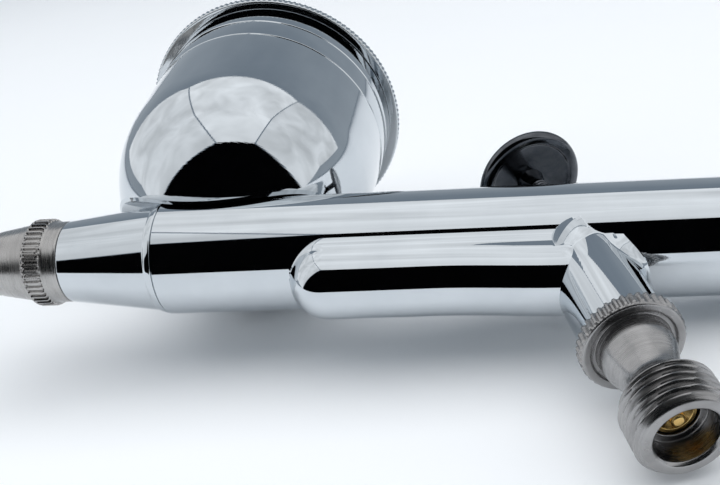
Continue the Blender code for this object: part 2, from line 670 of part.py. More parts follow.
def build_handle():
    ring_rear = HANDLE_FRONT + HANDLE_RING_LENGTH
    groove_rear = ring_rear + HANDLE_GROOVE_LENGTH
    tail_centre = HANDLE_TAIL - HANDLE_TAIL_R
    bore_r = BODY_R - 2 * HANDLE_WALL
    bore_rear = HANDLE_SHANK_FRONT + HANDLE_BORE_LENGTH
    tail = [(HANDLE_TAIL_R * math.cos(a), tail_centre + HANDLE_TAIL_R * math.sin(a))
            for a in (math.pi / 2 * i / TAIL_STEPS for i in range(TAIL_STEPS))]
    return turned("handle", down([
        (0.0, bore_rear),
        (bore_r, bore_rear - bore_r / 2),
        (bore_r, HANDLE_SHANK_FRONT),
        (REAR_BORE_R - GAP, HANDLE_SHANK_FRONT),
        (REAR_BORE_R - GAP, HANDLE_FRONT),
        (BODY_R - HANDLE_CHAMFER, HANDLE_FRONT),
        (BODY_R, HANDLE_FRONT + HANDLE_CHAMFER),
        (BODY_R, ring_rear),
        (BODY_R - HANDLE_GROOVE_DEPTH, ring_rear + HANDLE_CHAMFER),
        (BODY_R - HANDLE_GROOVE_DEPTH, groove_rear),
        (BODY_R - HANDLE_CHAMFER, groove_rear + HANDLE_CHAMFER),
    ] + tail + [(0.0, HANDLE_TAIL)]), needle_axis, chrome)


def build_trigger():
    """Forked lower lever, finger stem and dished pad, about the foot on the plunger."""
    stem = block_mesh("trigger", (STEM_T, STEM_WIDTH, KNEE_Z), (0.0, 0.0, KNEE_Z / 2))
    place(stem, trigger_pivot, gunmetal)
    join(stem, turned_guide("trigger_foot", rod(STEM_T / 2, STEM_WIDTH / 2, -STEM_WIDTH / 2), foot_axis))
    slot_height = STEM_SLOT_TOP - STEM_SLOT_BOTTOM
    slot_centre = (0.0, 0.0, (STEM_SLOT_TOP + STEM_SLOT_BOTTOM) / 2)
    slot_size = (4 * STEM_T, STEM_SLOT, slot_height)
    cut(stem, guide(block_mesh("needle_slot", slot_size, slot_centre), trigger_pivot))
    knee = Vector((0.0, 0.0, KNEE_Z - FINGER_STEM_R))
    pad = Vector((PAD_OFFSET_X, 0.0, PAD_OFFSET_Z))
    lean = (pad - knee).to_track_quat("Z", "Y").to_euler()
    finger = empty("finger_stem_axis", trigger_pivot, knee, lean)
    length = (pad - knee).length
    join(stem, turned_guide("finger_stem", [
        (0.0, length - PAD_T / 2),
        (FINGER_FILLET_R, length - PAD_T / 2),
        (FINGER_FILLET_R, length - PAD_T),
        (FINGER_STEM_R, length - PAD_T - FINGER_FILLET_LENGTH),
        (FINGER_STEM_R, 0.0),
        (0.0, 0.0),
    ], finger, FINE))
    join(stem, turned_guide("finger_pad", [
        (0.0, -PAD_DISH),
        (PAD_R / 2, -PAD_DISH * 3 / 4),
        (PAD_RIM_INNER_R, 0.0),
        (PAD_R - PAD_RIM, -PAD_RIM),
        (PAD_R, -PAD_T / 2),
        (PAD_R - PAD_RIM, -PAD_T),
        (PAD_HOLLOW_R + PAD_HOLLOW, -PAD_T),
        (PAD_HOLLOW_R, PAD_HOLLOW - PAD_T),
        (0.0, PAD_HOLLOW - PAD_T),
    ], pad_axis))
    return stem


def build_lever():
    height = LEVER_TOP_Z - LEVER_FOOT_Z
    blade = (LEVER_T, LEVER_WIDTH, height - LEVER_T / 2)
    lever = block_mesh("auxiliary_lever", blade, (0.0, 0.0, height / 2))
    place(lever, lever_pivot, nickel)
    half = math.sqrt(REAR_BORE_R ** 2 - (-LEVER_FOOT_Z + LEVER_T / 2) ** 2) - GAP
    join(lever, turned_guide("lever_foot", rod(LEVER_T / 2, half, -half), lever_foot_axis, FINE))
    slot_centre = (0.0, 0.0, height - LEVER_FOOT_Z - STEM_SLOT / 2)
    slot_size = (4 * LEVER_T, STEM_SLOT, 2 * height)
    cut(lever, guide(block_mesh("lever_slot", slot_size, slot_centre), lever_pivot))
    return lever


def build_valve():
    """Air valve: plunger and guide, casing, sprung valve disc and the screw that holds its spring."""
    groove_r = PLUNGER_R - RING_GROOVE_DEPTH
    turned("plunger", down([
        (0.0, PLUNGER_TOP),
        (PLUNGER_R, PLUNGER_TOP),
        (PLUNGER_R, PLUNGER_RING_S - RING_GROOVE_HALF),
        (groove_r, PLUNGER_RING_S - RING_GROOVE_HALF),
        (groove_r, PLUNGER_RING_S + RING_GROOVE_HALF),
        (PLUNGER_R, PLUNGER_RING_S + RING_GROOVE_HALF),
        (PLUNGER_R, PLUNGER_END),
        (0.0, PLUNGER_END),
    ]), valve_axis, brass)
    o_ring("plunger_o_ring", groove_r, PLUNGER_RING_S)
    bush = sleeve(CASING_SHANK_R, PLUNGER_R + GAP, PLUNGER_BUSH_TOP, PLUNGER_BUSH_END)
    turned("plunger_guide", down(bush), valve_axis, brass)
    build_casing()
    turned("valve_packing", down(sleeve(VALVE_DISC_R, VALVE_PIN_R + GAP, VALVE_PACKING_END - PACKING_T,
                                        VALVE_PACKING_END)), valve_axis, black_rubber, FINE)
    turned("air_valve", down([
        (0.0, PLUNGER_END + GAP),
        (VALVE_PIN_R, PLUNGER_END + GAP),
        (VALVE_PIN_R, VALVE_DISC_TOP),
        (VALVE_DISC_R, VALVE_DISC_TOP),
        (VALVE_DISC_R, VALVE_DISC_END),
        (VALVE_STEM_R, VALVE_DISC_END),
        (VALVE_STEM_R, VALVE_STEM_END - VALVE_STEM_R / 2),
        (VALVE_STEM_R / 2, VALVE_STEM_END),
        (0.0, VALVE_STEM_END),
    ]), valve_axis, brass, FINE)
    coil("valve_spring", valve_axis, spring_steel, VALVE_SPRING_COIL_R, VALVE_SPRING_WIRE_R,
         VALVE_SPRING_TURNS, VALVE_DISC_END + GAP, SPRING_SCREW_TOP - GAP)
    turned("valve_spring_screw", down(sleeve(CASING_BORE_R - GAP, VALVE_STEM_R + GAP, SPRING_SCREW_TOP,
                                             SPRING_SCREW_END)), valve_axis, brass, FINE)


def o_ring(name, groove_r, station):
    """A rubber ring in a groove, a gap clear of the groove's floor."""
    ring_r = groove_r + GAP / 2 + RING_WIRE_R
    section = [math.tau * i / WIRE_SIDES for i in range(WIRE_SIDES)]
    ring = [(ring_r + RING_WIRE_R * math.cos(a), station + RING_WIRE_R * math.sin(a)) for a in section]
    return turned(name, down(ring), valve_axis, black_rubber, ROUND)


def build_casing():
    bulb = []
    for i in range(NECK_STEPS + 1):
        share = i / NECK_STEPS
        blend = (1 - math.cos(math.pi * share)) / 2
        bulb.append((CASING_BULB_R + (CASING_WAIST_R - CASING_BULB_R) * blend,
                     NECK_TOP + (CASING_WAIST_S - NECK_TOP) * share))
    flare_r = THREAD_R - THREAD_DEPTH
    flare = []
    for i in range(1, FLARE_STEPS + 1):
        share = i / FLARE_STEPS
        flare.append((CASING_WAIST_R + (flare_r - CASING_WAIST_R) * share ** FLARE_POWER,
                      CASING_WAIST_S + (THREAD_TOP - CASING_WAIST_S) * share))
    thread = []
    for turn in range(THREAD_TURNS):
        crest = THREAD_TOP + (turn + 0.5) * THREAD_PITCH
        thread.append((THREAD_R, crest))
        thread.append((flare_r, crest + THREAD_PITCH / 2))
    floor = MOUTH_S - MOUTH_DEPTH
    groove_r = CASING_SHANK_R - RING_GROOVE_DEPTH
    groove_s = CASING_TOP + CASING_PORT_LENGTH / 2
    o_ring("casing_o_ring", groove_r, groove_s)
    turned("valve_casing", down([
        (CASING_SHANK_R, CASING_TOP),
        (CASING_SHANK_R, groove_s - RING_GROOVE_HALF),
        (groove_r, groove_s - RING_GROOVE_HALF),
        (groove_r, groove_s + RING_GROOVE_HALF),
        (CASING_SHANK_R, groove_s + RING_GROOVE_HALF),
        (CASING_SHANK_R, RING_TOP),
        (CASING_RING_R - CASING_RING_CHAMFER, RING_TOP),
        (CASING_RING_R, RING_TOP + CASING_RING_CHAMFER),
        (CASING_RING_R, RING_END - CASING_RING_CHAMFER),
        (CASING_RING_R - CASING_RING_CHAMFER, RING_END),
        (CASING_BULB_R, RING_END),
    ] + bulb + flare + thread + [
        (THREAD_R - MOUTH_CHAMFER, MOUTH_S - MOUTH_CHAMFER),
        (THREAD_R - 2 * MOUTH_CHAMFER, MOUTH_S),
        (MOUTH_R + MOUTH_CHAMFER, MOUTH_S),
        (MOUTH_R, MOUTH_S - MOUTH_CHAMFER),
        (MOUTH_R, floor),
        (CASING_BORE_R, floor),
        (CASING_BORE_R, CASING_FLOOR),
        (CASING_PORT_R, CASING_FLOOR),
        (CASING_PORT_R, CASING_TOP),
    ]), valve_axis, satin_steel)


def world_points(obj):
    depsgraph = bpy.context.evaluated_depsgraph_get()
    shape = obj.evaluated_get(depsgraph)
    mesh = shape.to_mesh()
    points = [shape.matrix_world @ vertex.co for vertex in mesh.vertices]
    shape.to_mesh_clear()
    return points


def lay_on_its_side(frame, touching, whole):
    """Turns the airbrush until the three pieces it rests on touch the bench, and centres it."""
    clouds = [world_points(piece) for piece in touching]
    up = Vector((0.0, -1.0, 0.0))
    for _ in range(12):
        touch = [min(cloud, key=up.dot) for cloud in clouds]
        normal = (touch[1] - touch[0]).cross(touch[2] - touch[0]).normalized()
        up = normal if normal.dot(up) > 0 else -normal
    along = Vector((1.0, 0.0, 0.0))
    along = (along - up * along.dot(up)).normalized()
    away = up.cross(along)
    turn = Matrix((along, away, up))
    points = [turn @ point for piece in whole for point in world_points(piece)]
    low = Vector([min(point[i] for point in points) for i in range(3)])
    high = Vector([max(point[i] for point in points) for i in range(3)])
    middle = (low + high) / 2
    frame.matrix_local = Matrix.Translation((-middle.x, -middle.y, -low.z)) @ turn.to_4x4()


clear_scene()
parts = new_collection("airbrush_gun")
cutters = new_collection("cutters")

chrome = finish("chrome", (0.80, 0.82, 0.84), 0.06)
chrome_cup = finish("chrome_cup", (0.80, 0.82, 0.84), 0.05)
chrome_lid = finish("chrome_lid", (0.78, 0.80, 0.82), 0.10)
satin_steel = finish("satin_steel", (0.62, 0.60, 0.57), 0.28)
polished_steel = finish("polished_steel", (0.75, 0.76, 0.77), 0.12)
spring_steel = finish("spring_steel", (0.55, 0.56, 0.58), 0.25)
nickel = finish("nickel", (0.70, 0.68, 0.64), 0.22)
brass = finish("brass", (0.72, 0.52, 0.24), 0.22)
gunmetal = finish("gunmetal", (0.22, 0.23, 0.25), 0.20)
white_packing = finish("white_packing", (0.88, 0.88, 0.86), 0.50, 0.0)
black_rubber = finish("black_rubber", (0.03, 0.03, 0.03), 0.55, 0.0)

airbrush = empty("airbrush_axes", None)
needle_axis = empty("needle_axis", airbrush, turn=(0.0, -math.pi / 2, 0.0))
valve_axis = empty("valve_axis", airbrush, turn=(0.0, -VALVE_LEAN, 0.0))
cup_axis = empty("cup_axis", airbrush, (CUP_X, 0.0, 0.0))
saddle_centre = (CUP_X, 0.0, SADDLE_BOTTOM_Z + SADDLE_ARC_R)
saddle_axis = empty("saddle_axis", airbrush, saddle_centre, (math.pi / 2, 0.0, 0.0))
trigger_pivot = empty("trigger_pivot", airbrush, FOOT)
foot_axis = empty("foot_axis", trigger_pivot, turn=(math.pi / 2, 0.0, 0.0))
pad_axis = empty("pad_axis", trigger_pivot, (PAD_OFFSET_X, 0.0, PAD_OFFSET_Z), (0.0, -PAD_LEAN, 0.0))
lever_pivot = empty("lever_pivot", airbrush, (LEVER_X, 0.0, LEVER_FOOT_Z))
lever_foot_axis = empty("lever_foot_axis", lever_pivot, turn=(math.pi / 2, 0.0, 0.0))

build_body()
build_cup()
build_lid()
build_front()
build_needle()
build_handle()
build_trigger()
build_lever()
build_valve()

rests_on = [bpy.data.objects[name] for name in ("cup_lid", "valve_casing", "handle")]
solids = [obj for obj in parts.objects if obj.type in ("MESH", "CURVE")]
lay_on_its_side(airbrush, rests_on, solids)
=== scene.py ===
# %% [markdown]
# # A gravity-feed airbrush, laid on its side
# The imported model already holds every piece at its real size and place. This lesson gives the
# pieces their surfaces: mirror chrome, satin-turned steel, knurls, threads and small edge rounds.
# Chrome shows whatever stands around it, so the last cells build a small light tent as well.

import json
import math

import bmesh
import bpy
import numpy as np
from mathutils import Euler, Matrix, Vector


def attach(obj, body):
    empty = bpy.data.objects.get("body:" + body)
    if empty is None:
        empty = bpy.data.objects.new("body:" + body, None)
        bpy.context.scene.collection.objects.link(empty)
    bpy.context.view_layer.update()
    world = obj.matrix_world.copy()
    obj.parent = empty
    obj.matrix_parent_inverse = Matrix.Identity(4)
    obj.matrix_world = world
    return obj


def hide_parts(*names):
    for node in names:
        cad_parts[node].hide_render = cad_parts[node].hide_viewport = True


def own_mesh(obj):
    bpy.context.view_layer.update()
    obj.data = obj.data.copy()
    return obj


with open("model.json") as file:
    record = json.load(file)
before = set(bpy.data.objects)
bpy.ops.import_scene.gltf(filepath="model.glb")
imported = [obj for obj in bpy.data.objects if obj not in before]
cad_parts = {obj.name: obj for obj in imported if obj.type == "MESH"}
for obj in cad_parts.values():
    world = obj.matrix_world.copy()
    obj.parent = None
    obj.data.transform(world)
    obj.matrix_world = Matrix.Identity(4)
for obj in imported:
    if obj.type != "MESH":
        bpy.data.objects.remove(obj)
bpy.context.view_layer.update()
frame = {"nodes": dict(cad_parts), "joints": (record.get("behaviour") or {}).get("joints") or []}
MM = 0.001

# %% [markdown]
# An airbrush is a set of turned pieces on three axes: the needle, the air valve and the paint cup.
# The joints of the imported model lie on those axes, so the axes are read from the joints. Each piece
# is then drawn as it would be on a lathe, in its own axis's frame, and set in place once.

# %% The airbrush's own axes, from its joints
joints = {joint["name"]: joint for joint in frame["joints"]}
along_needle = Vector(joints["needle_draw"]["axis"]).normalized()
towards_cup = Vector(joints["cup_lid_lift"]["axis"]).normalized()
down_valve = Vector(joints["trigger_press"]["axis"]).normalized()
sideways = towards_cup.cross(along_needle).normalized()
FOOT_S = 3.0 * MM                       # the trigger's foot, down the valve axis from the needle
crossing = Vector(joints["trigger_pull"]["pos_m"]) - down_valve * FOOT_S


def axes(origin, x, y, z):
    """A matrix whose columns are three directions and an origin, in the frame's metres."""
    turn = Matrix((x, y, z)).transposed().to_4x4()
    return Matrix.Translation(origin) @ turn


airbrush = axes(crossing, along_needle, sideways, towards_cup)
needle_axis = axes(crossing, sideways, towards_cup, along_needle)
across_valve = sideways.cross(down_valve).normalized()
valve_axis = axes(crossing, across_valve, sideways, down_valve)
CUP_X = -42.0 * MM
cup_axis = airbrush @ Matrix.Translation((CUP_X, 0.0, 0.0))
print("needle and valve cross at", [round(v, 4) for v in crossing])

# %% [markdown]
# A lathe only needs an outline. Real turned edges are never razor sharp: the tool or the polishing
# wheel rounds them, and that tiny round is what catches the light. So every outline corner gets
# a small arc before the outline is spun into rings of faces.

# %% Lathe helpers
STEPS = 160                             # sides of a turned piece
EDGE = 0.12 * MM                        # the round that polishing leaves on an edge


def eased(outline, radius=EDGE, parts=3):
    """The closed outline with each corner rounded by a small arc of points."""
    count = len(outline)
    result = []
    for i, corner in enumerate(outline):
        here = Vector(corner[:2])
        r = corner[2] if len(corner) > 2 else radius
        before = Vector(outline[i - 1][:2]) - here
        after = Vector(outline[(i + 1) % count][:2]) - here
        reach = min(r, before.length * 0.45, after.length * 0.45)
        if here.x == 0.0 or reach < 1e-6:
            result.append(tuple(here))
            continue
        start = here + before.normalized() * reach
        end = here + after.normalized() * reach
        for step in range(parts + 1):
            t = step / parts
            result.append(tuple(start * (1 - t) ** 2 + here * 2 * t * (1 - t) + end * t ** 2))
    return result


def arc(centre_r, centre_z, radius, start, end, count):
    """Points of a circular arc in an outline, between two angles in degrees."""
    angles = [math.radians(start + (end - start) * i / count) for i in range(count + 1)]
    return [(centre_r + radius * math.cos(a), centre_z + radius * math.sin(a), 0.0) for a in angles]


def finer(outline, longest):
    """The outline with its long runs cut into steps no longer than this."""
    result = []
    for i, corner in enumerate(outline):
        following = outline[(i + 1) % len(outline)]
        result.append(corner)
        length = math.dist(corner[:2], following[:2])
        pieces = max(1, math.ceil(length / longest))
        for k in range(1, pieces):
            t = k / pieces
            result.append(tuple(a + (b - a) * t for a, b in zip(corner[:2], following[:2])))
    return result


def in_scene(name, mesh):
    obj = bpy.data.objects.new(name, mesh)
    bpy.context.scene.collection.objects.link(obj)
    return obj


def smooth(mesh, sharp):
    """Smooth shading, with edges steeper than this many degrees left sharp."""
    mesh.shade_smooth()
    mesh.set_sharp_from_angle(angle=math.radians(sharp))


def row_faces(rows, around):
    """Faces between closed rows of points, and one cap at each end."""
    faces = []
    for i in range(rows - 1):
        for k in range(around):
            m = (k + 1) % around
            faces.append((i * around + k, i * around + m, (i + 1) * around + m, (i + 1) * around + k))
    faces.append(tuple(range(around)))
    faces.append(tuple((rows - 1) * around + k for k in range(around)))
    return faces


def mesh_object(name, vertices, faces, place=None, sharp=35.0):
    """A smooth-shaded object with its place in its mesh, welded, facing outwards."""
    shape = bmesh.new()
    corners = [shape.verts.new(v) for v in vertices]
    for face in faces:
        shape.faces.new([corners[i] for i in face])
    bmesh.ops.remove_doubles(shape, verts=shape.verts, dist=1e-7)
    bmesh.ops.recalc_face_normals(shape, faces=shape.faces)
    mesh = bpy.data.meshes.new(name)
    shape.to_mesh(mesh)
    shape.free()
    if place is not None:
        mesh.transform(place)
    smooth(mesh, sharp)
    return in_scene(name, mesh)


def turned(name, outline, place=None, steps=STEPS, sharp=35.0):
    """Spins a closed outline of (radius, height) about the frame's z axis."""
    solid = outline[0][0] == 0.0 and outline[-1][0] == 0.0
    rows = len(outline)
    vertices = []
    for radius, height in (corner[:2] for corner in outline):
        for k in range(steps):
            angle = math.tau * k / steps
            vertices.append((radius * math.cos(angle), radius * math.sin(angle), height))
    faces = []
    for i in range(rows - 1 if solid else rows):
        j = (i + 1) % rows
        for k in range(steps):
            m = (k + 1) % steps
            ring = (i * steps + k, i * steps + m, j * steps + m, j * steps + k)
            if outline[i][0] == 0.0:
                ring = ring[1:]
            elif outline[j][0] == 0.0:
                ring = ring[:3]
            faces.append(ring)
    return mesh_object(name, vertices, faces, place, sharp)


def settle(obj, body, *nodes, finish=None, slot=None):
    """Gives a finished piece its material, its body and the nodes that it stands for."""
    if finish:
        obj.data.materials.clear()
        obj.data.materials.append(finish)
    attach(obj, body)
    if nodes:
        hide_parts(*nodes)
    print(obj.name, "has", len(obj.data.polygons), "faces")
    return obj


# %% [markdown]
# Knurls, serrations and screw threads repeat by a rule, so one node tree cuts them all. It works on
# a turned blank that lies on the z axis: each point's angle and height give its place in the
# repeat, and the point sinks inwards where the cutter would pass. A thread is the same cut with one
# start that climbs by its lead. The tree runs once, and its result becomes a plain mesh.

# %% The knurling and threading tree
def end_tree(tree, given, geometry):
    """Makes the geometry real, gives it its finish and hands it out."""
    real = tree.nodes.new("GeometryNodeRealizeInstances")
    coat = tree.nodes.new("GeometryNodeSetMaterial")
    done = tree.nodes.new("NodeGroupOutput")
    tree.links.new(geometry, real.inputs[0])
    tree.links.new(real.outputs[0], coat.inputs["Geometry"])
    tree.links.new(given.outputs["Finish"], coat.inputs["Material"])
    tree.links.new(coat.outputs[0], done.inputs[0])


def cutter_tree():
    tree = bpy.data.node_groups.new("knurl_or_thread", "GeometryNodeTree")
    face = tree.interface
    face.new_socket("Blank", in_out="INPUT", socket_type="NodeSocketGeometry")
    for name in ("Grooves around", "Climb per metre", "Depth", "From height", "To height",
                 "Run-out", "Groove share", "Softness", "Outside radius"):
        face.new_socket(name, in_out="INPUT", socket_type="NodeSocketFloat")
    face.new_socket("Finish", in_out="INPUT", socket_type="NodeSocketMaterial")
    face.new_socket("Piece", in_out="OUTPUT", socket_type="NodeSocketGeometry")
    nodes, links = tree.nodes, tree.links
    given = nodes.new("NodeGroupInput")

    def calc(operation, a, b=None, c=None):
        node = nodes.new("ShaderNodeMath")
        node.operation = operation
        for socket, value in zip(node.inputs, (a, b, c)):
            if isinstance(value, (int, float)):
                socket.default_value = value
            elif value is not None:
                links.new(value, socket)
        return node.outputs[0]

    def ramp(value, low, high, top=1.0):
        node = nodes.new("ShaderNodeMapRange")
        node.interpolation_type = "SMOOTHSTEP"
        for name, given_value in (("Value", value), ("From Min", low), ("From Max", high)):
            links.new(given_value, node.inputs[name])
        node.inputs["To Min"].default_value = 1.0 - top
        node.inputs["To Max"].default_value = top
        return node.outputs["Result"]

    position = nodes.new("GeometryNodeInputPosition").outputs[0]
    split = nodes.new("ShaderNodeSeparateXYZ")
    links.new(position, split.inputs[0])
    x, y, z = split.outputs
    turn = calc("DIVIDE", calc("ARCTAN2", y, x), math.tau)
    phase = calc("ADD", calc("MULTIPLY", turn, given.outputs["Grooves around"]),
                 calc("MULTIPLY", z, given.outputs["Climb per metre"]))
    from_middle = calc("ABSOLUTE", calc("SUBTRACT", calc("MULTIPLY", calc("FRACT", phase), 2.0), 1.0))
    share, soft = given.outputs["Groove share"], given.outputs["Softness"]
    groove = ramp(from_middle, calc("SUBTRACT", share, soft), calc("ADD", share, soft), top=0.0)
    run_out = given.outputs["Run-out"]
    start, end = given.outputs["From height"], given.outputs["To height"]
    enter = ramp(z, start, calc("ADD", start, run_out))
    leave = ramp(z, calc("SUBTRACT", end, run_out), end, top=0.0)
    radius = calc("SQRT", calc("ADD", calc("MULTIPLY", x, x), calc("MULTIPLY", y, y)))
    outside = calc("GREATER_THAN", radius, given.outputs["Outside radius"])
    cut = calc("MULTIPLY", calc("MULTIPLY", groove, calc("MULTIPLY", enter, leave)),
               calc("MULTIPLY", outside, given.outputs["Depth"]))
    share_left = calc("DIVIDE", calc("SUBTRACT", radius, cut), calc("MAXIMUM", radius, 1e-6))
    rebuilt = nodes.new("ShaderNodeCombineXYZ")
    links.new(calc("MULTIPLY", x, share_left), rebuilt.inputs[0])
    links.new(calc("MULTIPLY", y, share_left), rebuilt.inputs[1])
    links.new(z, rebuilt.inputs[2])
    move = nodes.new("GeometryNodeSetPosition")
    links.new(given.outputs["Blank"], move.inputs["Geometry"])
    links.new(rebuilt.outputs[0], move.inputs["Position"])
    end_tree(tree, given, move.outputs[0])
    return tree


def bake_nodes(obj, tree, inputs, place, sharp=40.0):
    """Runs a node tree on an object, keeps the result as its plain mesh, and sets it in place."""
    step = obj.modifiers.new(tree.name, "NODES")
    step.node_group = tree
    for item in tree.interface.items_tree:
        if item.in_out == "INPUT" and item.name in inputs:
            step[item.identifier] = inputs[item.name]
    bpy.context.view_layer.update()
    depsgraph = bpy.context.evaluated_depsgraph_get()
    mesh = bpy.data.meshes.new_from_object(obj.evaluated_get(depsgraph))
    obj.modifiers.remove(step)
    obj.data = mesh
    mesh.transform(place)
    smooth(mesh, sharp)
    return obj


CUT = cutter_tree()


def cut_round(obj, finish, around, depth, start, end, run_out, share, soft, outside, climb=0.0):
    """Knurls or threads a blank that still lies on the z axis."""
    return bake_nodes(obj, CUT, {
        "Grooves around": float(around), "Climb per metre": float(climb), "Depth": depth,
        "From height": start, "To height": end, "Run-out": run_out, "Groove share": share,
        "Softness": soft, "Outside radius": outside, "Finish": finish}, Matrix.Identity(4))


print("cutter tree has", len(CUT.nodes), "nodes")

# %% [markdown]
# ## Metal finishes
# Chrome plate is a mirror with a very slight ripple from the polishing wheel, a few hairline
# scratches and faint handling marks that dull it here and there. Turned steel keeps the fine rings
# that the tool left, so its roughness and bump run around the axis it was turned on. All patterns
# read Object coordinates, and a Mapping node turns them into the piece's own axis.

# %% Helpers for the finishes
def new_finish(name, metallic, roughness):
    material = bpy.data.materials.new(name)
    material.use_nodes = True
    shader = material.node_tree.nodes["Principled BSDF"]
    shader.inputs["Metallic"].default_value = metallic
    shader.inputs["Roughness"].default_value = roughness
    return material, material.node_tree.nodes, material.node_tree.links, shader


def object_coordinates(nodes, links, place, scale):
    """Object coordinates turned into an axis's frame and stretched."""
    source = nodes.new("ShaderNodeTexCoord")
    to_axis = nodes.new("ShaderNodeMapping")
    into = place.inverted()
    to_axis.inputs["Rotation"].default_value = into.to_euler()
    to_axis.inputs["Location"].default_value = into.to_translation()
    stretch = nodes.new("ShaderNodeMapping")
    stretch.inputs["Scale"].default_value = scale
    links.new(source.outputs["Object"], to_axis.inputs["Vector"])
    links.new(to_axis.outputs[0], stretch.inputs["Vector"])
    return stretch.outputs[0]


def noise(nodes, links, vector, scale, detail=2.0, rough=0.5, distortion=0.0):
    node = nodes.new("ShaderNodeTexNoise")
    node.inputs["Scale"].default_value = scale
    node.inputs["Detail"].default_value = detail
    node.inputs["Roughness"].default_value = rough
    node.inputs["Distortion"].default_value = distortion
    links.new(vector, node.inputs["Vector"])
    return node.outputs["Fac"]


def spread(nodes, links, value, low, high, to_low, to_high):
    node = nodes.new("ShaderNodeMapRange")
    node.inputs["From Min"].default_value = low
    node.inputs["From Max"].default_value = high
    node.inputs["To Min"].default_value = to_low
    node.inputs["To Max"].default_value = to_high
    links.new(value, node.inputs["Value"])
    return node.outputs["Result"]


def blend_colour(nodes, links, share, first, second):
    node = nodes.new("ShaderNodeMix")
    node.data_type = "RGBA"
    node.inputs["A"].default_value = (*first, 1.0)
    node.inputs["B"].default_value = (*second, 1.0)
    links.new(share, node.inputs["Factor"])
    return node.outputs["Result"]


def add(nodes, links, a, b):
    node = nodes.new("ShaderNodeMath")
    node.operation = "ADD"
    links.new(a, node.inputs[0])
    links.new(b, node.inputs[1])
    return node.outputs[0]


def bump(nodes, links, shader, height, strength, distance):
    node = nodes.new("ShaderNodeBump")
    node.inputs["Strength"].default_value = strength
    node.inputs["Distance"].default_value = distance
    links.new(height, node.inputs["Height"])
    links.new(node.outputs[0], shader.inputs["Normal"])


# %% Chrome plate
def chrome_plate(name, place, tint=(0.60, 0.635, 0.665), dull=(0.52, 0.555, 0.585), base=0.022, ripple=1.0):
    """Mirror plate: soft polishing ripple, hairlines around the axis, faint dull patches."""
    material, nodes, links, shader = new_finish(name, 1.0, base)
    even = object_coordinates(nodes, links, place, (1.0, 1.0, 1.0))
    stretched = object_coordinates(nodes, links, place, (1.0, 1.0, 30.0))
    patches = noise(nodes, links, even, 160.0, 3.0, 0.6)
    colour = blend_colour(nodes, links, spread(nodes, links, patches, 0.35, 0.75, 0.0, 0.55), tint, dull)
    links.new(colour, shader.inputs["Base Color"])
    haze = spread(nodes, links, patches, 0.45, 0.8, base, base + 0.045)
    hairlines = noise(nodes, links, stretched, 420.0, 1.0, 0.5)
    lines = spread(nodes, links, hairlines, 0.68, 0.74, 0.0, 0.05)
    links.new(add(nodes, links, haze, lines), shader.inputs["Roughness"])
    waves = noise(nodes, links, even, 260.0, 1.0, 0.4)
    fine = spread(nodes, links, hairlines, 0.3, 0.7, 0.0, 0.12)
    bump(nodes, links, shader, add(nodes, links, waves, fine), 0.16 * ripple, 0.02 * MM)
    return material


# %% Satin-turned metal
def turned_metal(name, place, light, dark, base=0.2, rings=5200.0, strength=0.35, grain=0.02):
    """Metal with the fine rings of the lathe tool, and a little grime in them."""
    material, nodes, links, shader = new_finish(name, 1.0, base)
    across = object_coordinates(nodes, links, place, (0.02, 0.02, 1.0))
    even = object_coordinates(nodes, links, place, (1.0, 1.0, 1.0))
    tool_rings = noise(nodes, links, across, rings, 3.0, 0.7)
    broad = noise(nodes, links, even, 320.0, 3.0, 0.6)
    shade = add(nodes, links, spread(nodes, links, broad, 0.3, 0.75, 0.0, 0.6),
                spread(nodes, links, tool_rings, 0.35, 0.7, 0.0, 0.4))
    links.new(blend_colour(nodes, links, shade, light, dark), shader.inputs["Base Color"])
    rough = add(nodes, links, spread(nodes, links, tool_rings, 0.3, 0.7, base - 0.05, base + 0.07),
                spread(nodes, links, broad, 0.4, 0.8, 0.0, 0.08))
    links.new(rough, shader.inputs["Roughness"])
    bump(nodes, links, shader, tool_rings, strength, grain * MM)
    return material


# %% Packings and rubber
def soft_finish(name, light, dark, roughness):
    """Moulded or cut seal material, matt, with a slight mottle."""
    material, nodes, links, shader = new_finish(name, 0.0, roughness)
    even = object_coordinates(nodes, links, Matrix.Identity(4), (1.0, 1.0, 1.0))
    mottle = noise(nodes, links, even, 900.0, 4.0, 0.6)
    links.new(blend_colour(nodes, links, mottle, light, dark), shader.inputs["Base Color"])
    links.new(spread(nodes, links, mottle, 0.2, 0.8, roughness - 0.08, roughness + 0.1),
              shader.inputs["Roughness"])
    bump(nodes, links, shader, mottle, 0.3, 0.02 * MM)
    return material


chrome_tube = chrome_plate("chrome_tube", needle_axis)
chrome_cup = chrome_plate("chrome_cup", cup_axis, ripple=1.6)
chrome_lid = chrome_plate("chrome_lid", cup_axis, (0.58, 0.61, 0.635), (0.50, 0.53, 0.555), 0.06)
satin_nose = turned_metal("satin_nose", needle_axis, (0.46, 0.45, 0.44), (0.33, 0.32, 0.315), 0.24)
satin_valve = turned_metal("satin_valve", valve_axis, (0.40, 0.395, 0.395), (0.26, 0.255, 0.255), 0.24)
bare_nickel = turned_metal("bare_nickel", needle_axis, (0.70, 0.67, 0.61), (0.55, 0.52, 0.46), 0.22)
needle_steel = turned_metal("needle_steel", needle_axis, (0.76, 0.77, 0.78), (0.62, 0.63, 0.64), 0.1)
spring_wire = turned_metal("spring_wire", needle_axis, (0.56, 0.57, 0.59), (0.40, 0.41, 0.43), 0.22)
brass_valve = turned_metal("brass_valve", valve_axis, (0.80, 0.56, 0.22), (0.58, 0.37, 0.12), 0.18)
brass_needle = turned_metal("brass_needle", needle_axis, (0.80, 0.58, 0.25), (0.60, 0.40, 0.14), 0.2)
white_packing = soft_finish("white_packing", (0.88, 0.88, 0.86), (0.74, 0.74, 0.71), 0.5)
